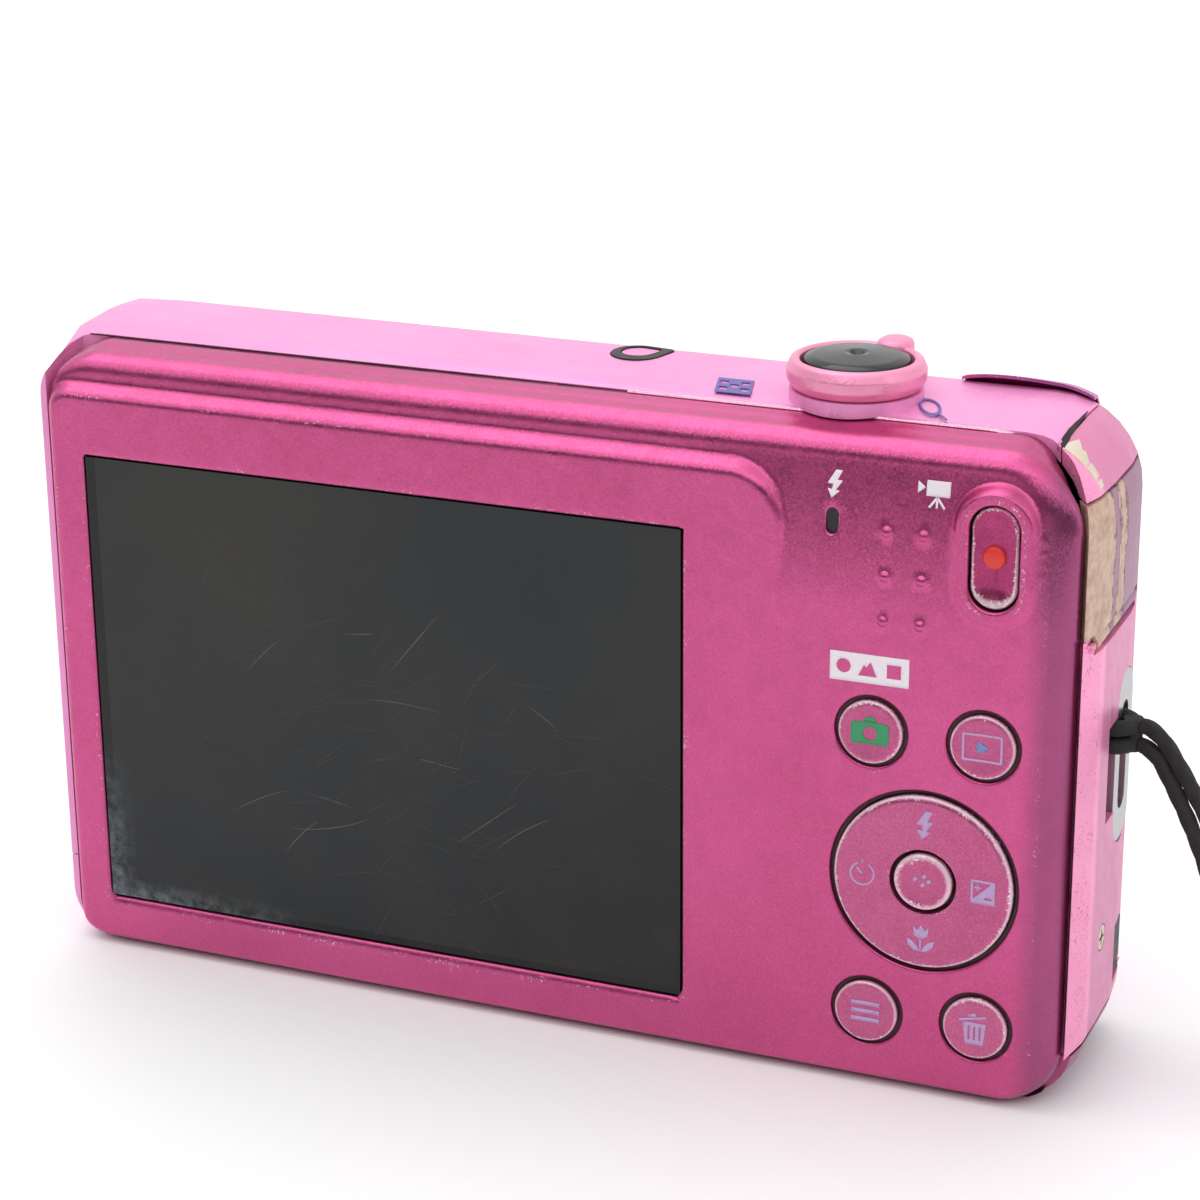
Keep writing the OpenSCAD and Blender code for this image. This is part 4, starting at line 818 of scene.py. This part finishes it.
def sign(name, shapes, at, surface, mat, body="camera", size=1, on_top=False):
    """Thin ink on a surface. A shape is a list of closed lines: the outside one, then its holes."""
    points, faces, base = [], [], 0
    for lines in shapes:
        lines = [fine(np.asarray(line, float) * size) for line in lines]
        low, high = lines[0].min(0), lines[0].max(0)
        gx, gz = np.meshgrid(np.arange(low[0], high[0], 0.3), np.arange(low[1], high[1], 0.3))
        flat, triangles = fill(lines, np.stack([gx.ravel(), gz.ravel()], axis=1))
        flat = flat + at
        height = surface(*flat.T)
        flat_top = np.column_stack([flat, height + INK_LIFT])
        points.append(flat_top if on_top else stand(flat, height - INK_LIFT))
        faces += [tuple(base + k for k in face) for face in triangles]
        base += len(flat)
    obj = piece(f"sign_{name}", np.concatenate(points), faces, mat, body)
    thick = obj.modifiers.new("thick", "SOLIDIFY")
    thick.thickness, thick.offset = 0.04 * MM, 0


def bolt():
    right = [(0.05, 0.5), (0.3, 0.5), (0.12, 0.14), (0.32, 0.14), (0.08, -0.22), (0.24, -0.22)]
    left = [(-0.06, -0.5), (-0.22, -0.16), (-0.07, -0.2), (-0.02, 0.0), (-0.24, 0.0)]
    return [[right + left]]


def tulip():
    bloom = [(-0.55, 0.95), (-0.3, 0.6), (0, 1.0), (0.3, 0.6), (0.55, 0.95), (0.5, 0.25), (0.2, 0.02)]
    bloom += [(-0.2, 0.02), (-0.5, 0.25)]
    left = [(-0.08, -0.95), (-0.5, -0.9), (-0.9, -0.5), (-1.0, -0.05), (-0.55, -0.25), (-0.2, -0.6)]
    right = [(-x, z) for x, z in reversed(left)]
    return [[bloom], [bar(-0.06, 0.06, -0.95, -0.02)], [left], [right]]


def trash_can():
    can = [(-0.8, 0.45), (-0.62, -1.15), (0.62, -1.15), (0.8, 0.45)]
    slots = [bar(x - 0.07, x + 0.07, -0.85, 0.2) for x in (-0.38, 0, 0.38)]
    lid, grip = stroke((-1.05, 0.55), (0.8, 0.95), 0.17), stroke((-0.4, 0.95), (0.1, 1.06), 0.22)
    return [[can, *slots], [lid], [grip]]


def cine_camera():
    front = [(-1.2, 0.95), (-1.2, 0.05), (-0.62, 0.5)]
    legs = [[stroke((0.3, -0.15), (x, -0.95), 0.17)] for x in (-0.3, 0.3, 0.9)]
    return [[bar(-0.55, 1.25, -0.1, 1.05)], [front], *legs]


def still_camera():
    body = outline(-1.35, 1.35, -0.85, 0.75, [0.25] * 4, 24)
    return [[body, circle(0, -0.08, 0.5, 40)], [[(-0.5, 0.8), (0.5, 0.8), (0.3, 1.15), (-0.3, 1.15)]]]


def scene_plate():
    """A plate with a disc, a hill and a square cut out of it."""
    hill = [(-0.95, -0.65), (0.65, -0.65), (0.1, 0.65), (-0.25, 0.1), (-0.45, 0.35)]
    return [[bar(-3.38, 3.38, -1.25, 1.25), circle(-2.2, 0.05, 0.62, 24), hill, bar(1.5, 2.7, -0.6, 0.6)]]


def plus_minus():
    """A framed square, half filled, with a plus in the empty half and a minus in the filled one."""
    frame_line = outline(-1.05, 1.05, -1.05, 1.05, [0.06] * 4, 16)
    square = [frame_line, [(-0.85, -0.7), (0.7, 0.85), (-0.85, 0.85)], bar(0.15, 0.8, -0.6, -0.42)]
    plus = [[bar(-0.75, -0.15, 0.3, 0.46)], [bar(-0.53, -0.37, 0.48, 0.7)], [bar(-0.53, -0.37, 0.06, 0.28)]]
    return [square, *plus]


def print_signs():
    white = print_ink("ink_white", (240, 232, 238), (206, 120, 160), 0.62)
    lilac = print_ink("ink_lilac", (190, 160, 208), (196, 100, 146), 0.56)
    green = print_ink("ink_green", (52, 150, 98), (120, 120, 110), 0.66)
    blue = print_ink("ink_blue", (118, 140, 196), (196, 104, 150), 0.6)
    sign("bolt", bolt(), (26.85, 53.05), face_y, white, size=2.3)
    sign("cine", cine_camera(), (35.2, 53.05), face_y, white, size=1.1)
    sign("plate", scene_plate(), (30.48, 37.9), face_y, white)
    rounded = lambda x, z, r: outline(-x, x, -z, z, [r] * 4, 24)
    play = [[(-0.4, -0.5), (0.55, 0.0), (-0.4, 0.5)]]
    lines = [[bar(-1.25, 1.25, z - 0.18, z + 0.18)] for z in (-0.75, 0, 0.75)]
    for name, key, shapes, ink, size in (
        ("mode", "mode", still_camera(), green, 1.2),
        ("play_frame", "playback", [[rounded(1.55, 1.1, 0.15), rounded(1.38, 0.93, 0.1)]], lilac, 1.1),
        ("play", "playback", [play], blue, 1.15),
        ("menu", "menu", lines, lilac, 1),
        ("delete", "delete", trash_can(), lilac, 1.25),
    ):
        sign(name, shapes, KEYS[key], dished(KEYS[key], "key"), ink, f"{key}_key", size)
    hands = [[stroke((0, 0), (-0.5, 0.55), 0.18)], [stroke((0, 1.0), (0, 1.3), 0.16)]]
    for name, shapes, dx, dz, size in (
        ("bolt", bolt(), 0, 5.2, 2.6),
        ("macro", tulip(), 0, -5.1, 1.2),
        ("timer", [[stripe(1.0, 0.16, -250, 60)], *hands], -5.2, 0, 1),
        ("exposure", plus_minus(), 5.2, 0, 1),
    ):
        at = (SELECTOR[0] + dx, SELECTOR[1] + dz)
        sign(f"ring_{name}", shapes, at, dished(SELECTOR, "selector"), lilac, "selector", size)
    marks = ((-0.75, 0.1), (-0.1, -0.35), (0.4, 0.0), (0.0, 0.4))
    marks = [[stroke((x, z), (x + 0.28, z + 0.3), 0.3)] for x, z in marks]
    sign("ok", marks, SELECTOR, dished(SELECTOR, "ok"), lilac, "ok_key")


def print_top_signs():
    """The two signs beside the zoom lever, drawn out and leaning: a chequer and a magnifier."""
    navy = print_ink("ink_navy", (104, 92, 170), (240, 140, 190), 0.68)
    middles = ((-0.95, 0.5), (0.95, 0.5), (0, 0), (-0.95, -0.5), (0.95, -0.5))
    holes = [bar(x - 0.36, x + 0.36, y - 0.23, y + 0.23) for x, y in middles]
    wide = [[line @ [(1, 0), (-0.42, 1.6)] for line in [bar(-1.6, 1.6, -1.2, 1.2), *holes]]]
    lens = [[circle(0, 0, 0.95, 40), circle(0, 0, 0.72, 40)], [stroke((0.6, -0.75), (1.1, -1.35), 0.24)]]
    tele = [[line @ [(1, 0), (-0.9, 2.2)] for line in lines] for lines in lens]
    sign("wide", wide, (15.3, -0.9), top_height, navy, on_top=True)
    sign("tele", tele, (32.3, -0.9), top_height, navy, on_top=True)


# ---- Top


def top_height(x, y):
    """The top cover's surface near the zoom lever, which drops a little towards the rear."""
    return TOP_Z - 0.12 * smooth((1 - np.asarray(y, float)) / 5)


def zoom_ring():
    """The zoom lever: a cup on a hub, with a finger nub at the front."""
    cup = [(1.55, 56), (1.55, 59.2), (4.73, 59.2), (4.73, 61.0), (5.0, 61.2), (5.5, 61.05), (5.85, 60.3)]
    under = [(5.8, 59.4), (5.45, 58.9), (5.3, 58.72), (3.5, 58.72), (3.5, 53.4), (4.6, 53.4), (4.6, 52.7)]
    under += [(1.55, 52.7), (1.55, 56)]
    rings = lathe(fillet(cup + under, (0.1, 0.1, 0.15, 0.2, 0.35, 0.5, 0.4, 0.2, 0.1)), ZOOM_AT, "z", 128)
    rubbed = lambda x, y, z: np.where(z > 60.95, 0.7, 0.34)
    skin("zoom_ring_skin", rings, ZOOM, "zoom_ring", "zoom_lever", rubbed, False)
    steps = ((1.4, 59.35), (0.3, 59.35), (0, 59.6), (0, 61.1), (0.12, 61.4), (0.45, 61.58), (1.4, 61.62))
    rings = []
    for inset, z in steps:
        line = outline(25.75 + inset, 28.8 - inset, 3.7 + inset, 7.2 - inset, [1.5 - inset] * 4, 64)
        rings.append(np.column_stack([line, np.full(len(line), z)]))
    skin("zoom_nub", rings, ZOOM, "zoom_ring", wear=lambda x, y, z: np.where(z > 61.3, 0.6, 0.3))


def shutter_release():
    """Glossy dished disc with a pip in the middle, on its stem."""
    disc = [(0, 61.2), (0.3, 61.22), (0.75, 61.5), (1.1, 61.55), (3.7, 61.36), (4.4, 61.1), (4.46, 60.3)]
    stem = [(1.48, 60.25), (1.48, 52.55), (2.3, 52.5), (2.3, 52.25), (0, 52.25)]
    rings = lathe(fillet(disc + stem, (0.1, 0.2, 0.2, 2.0, 0.25, 0.1)), ZOOM_AT, "z", 96)
    skin("shutter_disc", rings, SHUTTER, "shutter_key", "shutter_button")


def cover_edge():
    """The buckled edge of the front cover, which stands up over the top at the right."""
    rings = []
    for t in np.linspace(0, 1, 40):
        x = 32.6 + 11.4 * t
        base = TOP_Z - max(x - 41, 0) ** 2 / 15 + 0.1
        up = 0.05 + 0.6 * sin(pi * t**0.7)
        lip = [(7.2 - 0.6 * up, base + up), (7.25 - 0.6 * up, base + up + 0.26)]
        lip += [(8.2, base + up * 0.6 + 0.16)]
        lip += [(9.1, base - 0.75), (8.9, base - 0.95), (8.0, base + up * 0.5)]
        rings.append(np.array([(x, y, z) for y, z in lip]))
    wear = np.tile([0.6, 0.7, 0.3, 0.2, 0.2, 0.2], len(rings))
    skin("front_cover_edge", rings, PURPLE, wear=lambda *_: wear, sharp=50)


def broken_corner():
    """The crack and the chipped paint on the round corner over the connector flap."""
    centre_x, centre_z, r = 41, 50.4, 7.5

    def on_corner(x, y, up):
        z = centre_z + math.sqrt(max(r**2 - (x - centre_x) ** 2, 0))
        return (x, y, z - 0.45 * smooth((-0.5 - y) / 4) + up)

    widths = (1, 0.9, 0.95, 0.7, 0.75, 0.5, 0.55, 0.4, 0.3, 0.3, 0.2, 0.05)
    crack = [[(44.1 - 0.2 * w, y), (44.12 + 0.34 * w, y)] for y, w in zip(np.linspace(-4.2, 4.5, 12), widths)]
    ends = (1.3, 2.0, 2.7, 2.3, 1.7, 1.9, 1.5, 1.1, 1.25, 1.2, 1.1, 1.15, 1.0)
    across = zip(np.linspace(44.5, 47.6, 13), ends)
    chip = [[(x, -4.45 + e) for e in (0, 0.45, 0.95, end)] for x, end in across]
    cream = plastic("cream", (226, 216, 196), (214, 200, 176))
    for name, rows, lift, mat in (("corner_crack", crack, 0.05, CRACK), ("corner_chip", chip, 0.09, cream)):
        rings = []
        for row in rows:
            upper = [on_corner(x, y, lift) for x, y in row]
            rings.append(np.array(upper + [on_corner(x, y, -0.5) for x, y in reversed(row)]))
        skin(name, rings, mat)


def seam():
    """The rear cover's edge against the top cover: a bright lip at the right, a dark line at the left."""
    thinning = lambda x: 0.07 * (0.3 + 0.7 * smooth((7 - x) / 25))
    turn = np.linspace(0, 2 * pi, 9)[:-1]
    for name, start, end, thick, mat in (
        ("seam_lip", 7.0, 43.0, lambda x: 0.22, LIP),
        ("seam_shade", -45.0, 9.0, thinning, CRACK),
    ):
        rings = []
        for x in np.linspace(start, end, 60):
            z, r = 57.42 - 0.045 * max(x - 38, 0) ** 2, thick(x)
            rings.append(np.array([(x, -4.0 + 1.3 * r * cos(a), z + r * sin(a)) for a in turn]))
        skin(name, rings, mat)


def scratches():
    """Hairline scratches across the middle of the screen."""
    darker_tone = plastic("scratch", (66, 63, 58), (54, 52, 50), 0.5)
    bright = plastic("scratch_bright", (108, 104, 98), (88, 86, 82), 0.5)
    sorts = (("scratches_fine", darker_tone, 90, 0.026), ("scratches_bright", bright, 12, 0.03))
    for name, mat, count, wide in sorts:
        points, faces = [], []
        for _ in range(count):
            x, z = rng.normal(-14, 10), rng.normal(24, 7.5)
            a, bend, reach = rng.uniform(-0.6, 1.2), rng.normal(0, 0.02), rng.uniform(1.5, 9)
            for k in range(13):
                w = wide * sin(pi * (0.06 + 0.88 * k / 12))
                points += [(x - w * sin(a), -9.762, z + w * cos(a)), (x + w * sin(a), -9.762, z - w * cos(a))]
                if k:
                    n = len(points)
                    faces.append((n - 4, n - 3, n - 1, n - 2))
                x, z, a = x + cos(a) * reach / 12, z + sin(a) * reach / 12, a + bend
        points = np.array(points)
        points[:, 0] = np.clip(points[:, 0], SCREEN[0] + 0.5, SCREEN[1] - 0.3)
        points[:, 2] = np.clip(points[:, 2], SCREEN[2] + 0.5, SCREEN[3] - 0.3)
        piece(name, points, faces, mat)


# ---- Strap

ROUTE_A = [
    (50.3, 2.5, 31.2), (51, 2.5, 31.1), (51.7, 2.4, 30.7), (52.5, 2.3, 30), (53.3, 2.1, 29),
    (54.6, 1.9, 27.1), (55.9, 1.7, 25), (57, 1.6, 23), (58, 1.5, 20.9), (59, 1.5, 18.3),
    (59.9, 1.5, 15.4), (60.7, 1.5, 12.3), (61.6, 1.6, 9.2), (62.7, 1.7, 6.2), (64.2, 1.8, 3.8),
    (66, 1.8, 2.5), (68, 1.8, 2.1), (70, 1.8, 2.1),
]
ROUTE_B = [
    (50.3, 2.3, 29.6), (51, 2.2, 29.4), (51.7, 2.1, 28.9), (52.4, 2, 28.1), (53.1, 1.8, 27),
    (54.2, 1.5, 25.2), (55.3, 1.2, 23.2), (56.4, 0.8, 21), (57.5, 0.3, 18.4), (58.5, -0.1, 15.8),
    (59.6, -0.5, 12.8), (60.8, -0.8, 9.6), (62.2, -1, 6.4), (63.9, -1, 3.9), (65.8, -1, 2.5),
    (68, -1, 2.1), (70, -1, 2.1),
]
HANK_X, HANK_Y, HANK_R, HANK_Z, HANK_PITCH, HANK_TURNS, HANK_STEPS = (98, 112), 0.4, 8, 1.0, 1.7, 3, 16


def hank(t):
    """A point of the long coil after t turns, which start at the left end of the far run."""
    curve, run = pi * HANK_R, HANK_X[1] - HANK_X[0]
    s, z = (t - math.floor(t)) * 2 * (run + curve), HANK_Z + HANK_PITCH * t
    if s < run:
        return (HANK_X[0] + s, HANK_Y + HANK_R, z)
    if s < run + curve:
        a = radians(90 - (s - run) / curve * 180)
        return (HANK_X[1] + HANK_R * cos(a), HANK_Y + HANK_R * sin(a), z)
    if s < 2 * run + curve:
        return (HANK_X[1] - (s - run - curve), HANK_Y - HANK_R, z)
    a = radians(270 - (s - 2 * run - curve) / curve * 180)
    return (HANK_X[0] + HANK_R * cos(a), HANK_Y + HANK_R * sin(a), z)


def loop_route():
    out = [(79, 1.8, 2.1), (80.5, 1.9, 2), (83.5, 2.6, 1.4), (87, 4.2, 1.05), (91, 6.2, 1), (95, 7.8, 1)]
    out += [hank(i / HANK_STEPS) for i in range(HANK_STEPS * HANK_TURNS - 4)]
    out += [(94, -6.6, 6.3), (90, -4.6, 5.8), (86, -2.6, 4.2), (83, -1.5, 2.8), (80.5, -1, 2.15)]
    return out + [(79, -1, 2.1)]


def through(points, step):
    """A smooth line through the points, with even steps."""
    p = np.array([tuple(q) for q in points], float)
    p = np.vstack([2 * p[0] - p[1], p, 2 * p[-1] - p[-2]])
    line = []
    for a, b, c, d in zip(p, p[1:], p[2:], p[3:]):
        for t in np.linspace(0, 1, 24, endpoint=False):
            bend, twist = 2 * a - 5 * b + 4 * c - d, 3 * b - a - 3 * c + d
            line.append(0.5 * (2 * b + (c - a) * t + bend * t * t + twist * t ** 3))
    line = np.array(line + [p[-2]])
    walk = np.concatenate([[0], np.cumsum(np.linalg.norm(np.diff(line, axis=0), axis=1))])
    at = np.linspace(0, walk[-1], max(2, int(walk[-1] / step)))
    return np.stack([np.interp(at, walk, line[:, i]) for i in range(3)], axis=1), walk[-1]


def woven_tube(line, radius, count, strands, pitch):
    """A braided cord round a line: two families of strands cross on its surface."""
    tangent = np.gradient(line, axis=0)
    tangent /= np.linalg.norm(tangent, axis=1, keepdims=True)
    side = np.cross(tangent[0], (0.1, 0.2, 1.0))
    rings, walked = [], 0.0
    for i, (p, t) in enumerate(zip(line, tangent)):
        side = side - t * (side @ t)
        side /= np.linalg.norm(side)
        other = np.cross(t, side)
        if i:
            walked += np.linalg.norm(p - line[i - 1])
        ring = []
        for k in range(count):
            a = 2 * pi * k / count
            turn = 2 * pi * walked / pitch
            weave = max(sin(strands * a + turn), sin(strands * a - turn))
            ring.append(p + (side * cos(a) + other * sin(a)) * radius * (0.955 + 0.075 * weave))
        rings.append(np.array(ring))
    return bridge(rings)


def strap():
    cord = cord_weave("cord")
    for name, route in (("strap_run_a", ROUTE_A), ("strap_run_b", ROUTE_B)):
        line, length = through(route, 0.14)
        points, faces = woven_tube(line, 0.675, 20, 4, 2.2)
        run = piece(name, points, faces, cord, replaces="strap_cords")
    line, length = through(loop_route(), 0.16)
    points, faces = woven_tube(line, 0.8, 20, 5, 2.6)
    loop = piece("wrist_loop", points, faces, cord, replaces="strap_loop")


# ---- The object

make_camera()
make_stage()
strap()

# Painted shade: the rear paint darkens over the round of its right edge, and the side paint darkens on its
# forward part. Both of these face away from the light.
PAINT_PAINTED_SHADE = ("X", 43.5, 45.3, 0.58, (120, 68, 104))
SIDE_PAINTED_SHADE = ("Y", -4.1, -3.3, 0.5, (178, 96, 140))
PAINT = pink_paint("rear_paint", (200, 80, 136), (192, 73, 128), 0.12, 0.95, coat=0.3, darker_tone=PAINT_PAINTED_SHADE)
DEEP = pink_paint("deep_paint", (168, 60, 108), (160, 54, 100), 0.1, 0.9, worn=(238, 216, 222))
FRONT = pink_paint("front_paint", (206, 96, 152), (198, 88, 144), 0.06, 0.92, coat=0.4)
KEY = pink_paint("key_paint", (184, 84, 128), (192, 96, 138), 0.2, 0.85, rough=0.36, worn=(244, 216, 228))
BAND = pink_paint("band_paint", (240, 152, 206), (246, 160, 212), 0.06, 0.25, 0.8, 0.36)
SIDE = pink_paint("side_paint", (252, 150, 196), (255, 160, 204), 0.06, 0.25, rough=0.4, worn=(120, 66, 92),
                  band=(-3.6, -5.0, 0.2, 0.66), darker_tone=SIDE_PAINTED_SHADE)
ZOOM = pink_paint("zoom_paint", (240, 148, 184), (246, 158, 192), 0.08, 0.4, 0.8)
PURPLE = pink_paint("edge_paint", (206, 110, 180), (196, 98, 168), 0.06, 0.7, 0.9, 0.34)
LIP = pink_paint("lip_paint", (236, 190, 214), (226, 172, 200), 0.1, 0.8, rough=0.3)
CRACK = plastic("crack", (34, 12, 20), (50, 24, 30), 0.7)
SHUTTER = plastic("shutter_gloss", (18, 18, 19), (24, 24, 25), 0.12, 3, 0.02)
FLAP = flap_paint()
DARK = "power_ring lens_housing cam_ring barrier_blade_a barrier_blade_b speaker battery_chamber power_cover"
DARK += " strap_end strap_tie flash_ready_lamp"
STEEL = "lcd_backlight selector_gimbal zoom_motor card_slot door_hinge av_usb_jack"
# Each look with the CAD nodes that wear it
DRESS = (
    (BAND, "power_button"),
    (screen_glass(), "lcd_window"),
    (cord_weave("hitch_cord"), "strap_hitch"),
    (plastic("black_plastic", (26, 26, 28), (34, 34, 36), 0.5), DARK),
    (metal("steel", (0.6, 0.6, 0.62), 0.3, (1, 0.05, 1)), STEEL),
    (metal("alloy", (0.52, 0.52, 0.54), 0.38), "chassis middle_barrel front_barrel"),
    (metal("plated", (0.78, 0.78, 0.8), 0.16), "lens_ring flash_unit"),
    (metal("brass", (0.62, 0.47, 0.22), 0.3), "motor_pinion tripod_socket"),
    (metal("screw", (0.6, 0.52, 0.4), 0.32), "screws_and_pins"),
    (plastic("board", (20, 82, 48), (26, 96, 58), 0.35, 3, 0.2), "main_board top_board"),
    (plastic("flex", (190, 130, 40), (205, 146, 60), 0.35), "key_flex"),
    (plastic("battery", (34, 34, 40), (44, 44, 50)), "battery flash_capacitor"),
    (plastic("card", (28, 40, 92), (34, 48, 104)), "memory_card"),
    (plastic("orange", (226, 110, 30), (234, 124, 40), 0.35), "battery_latch"),
    (FLAP, "connector_flap"),
    (metal("eyelet", (0.46, 0.46, 0.47), 0.34), "eyelet_plate"),
    (clear("lens_glass", (0.75, 0.85, 0.9)), "front_lens rear_lens"),
    (clear("flash_glass", (0.95, 0.96, 1), 0.2), "flash_window"),
    (clear("amber", (1, 0.6, 0.25), 0.15), "af_lamp"),
    (plastic("display", (16, 17, 18), (20, 21, 22), 0.2, 3, 0.02), "lcd_panel image_sensor"),
)
for look, names in DRESS:
    for node in names.split():
        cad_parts[node].data.materials.clear()
        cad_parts[node].data.materials.append(look)

rear_cover()
round_keys()
selector()
key_gaps()
movie_key()
print_signs()
print_top_signs()
scratches()
zoom_ring()
shutter_release()
cover_edge()
broken_corner()
seam()
for node, look in (("top_cover", BAND), ("side_cover", SIDE), ("bottom_cover", BAND)):
    from_cad(f"{node}_skin", "camera", look, node, 0.05)
from_cad("front_cover_skin", "camera", FRONT, "front_cover", 0.08)
from_cad("battery_door_skin", "door", PAINT, "battery_door", 0.06)
from_cad("flap_skin", "flap", FLAP, "connector_flap", 0.08)
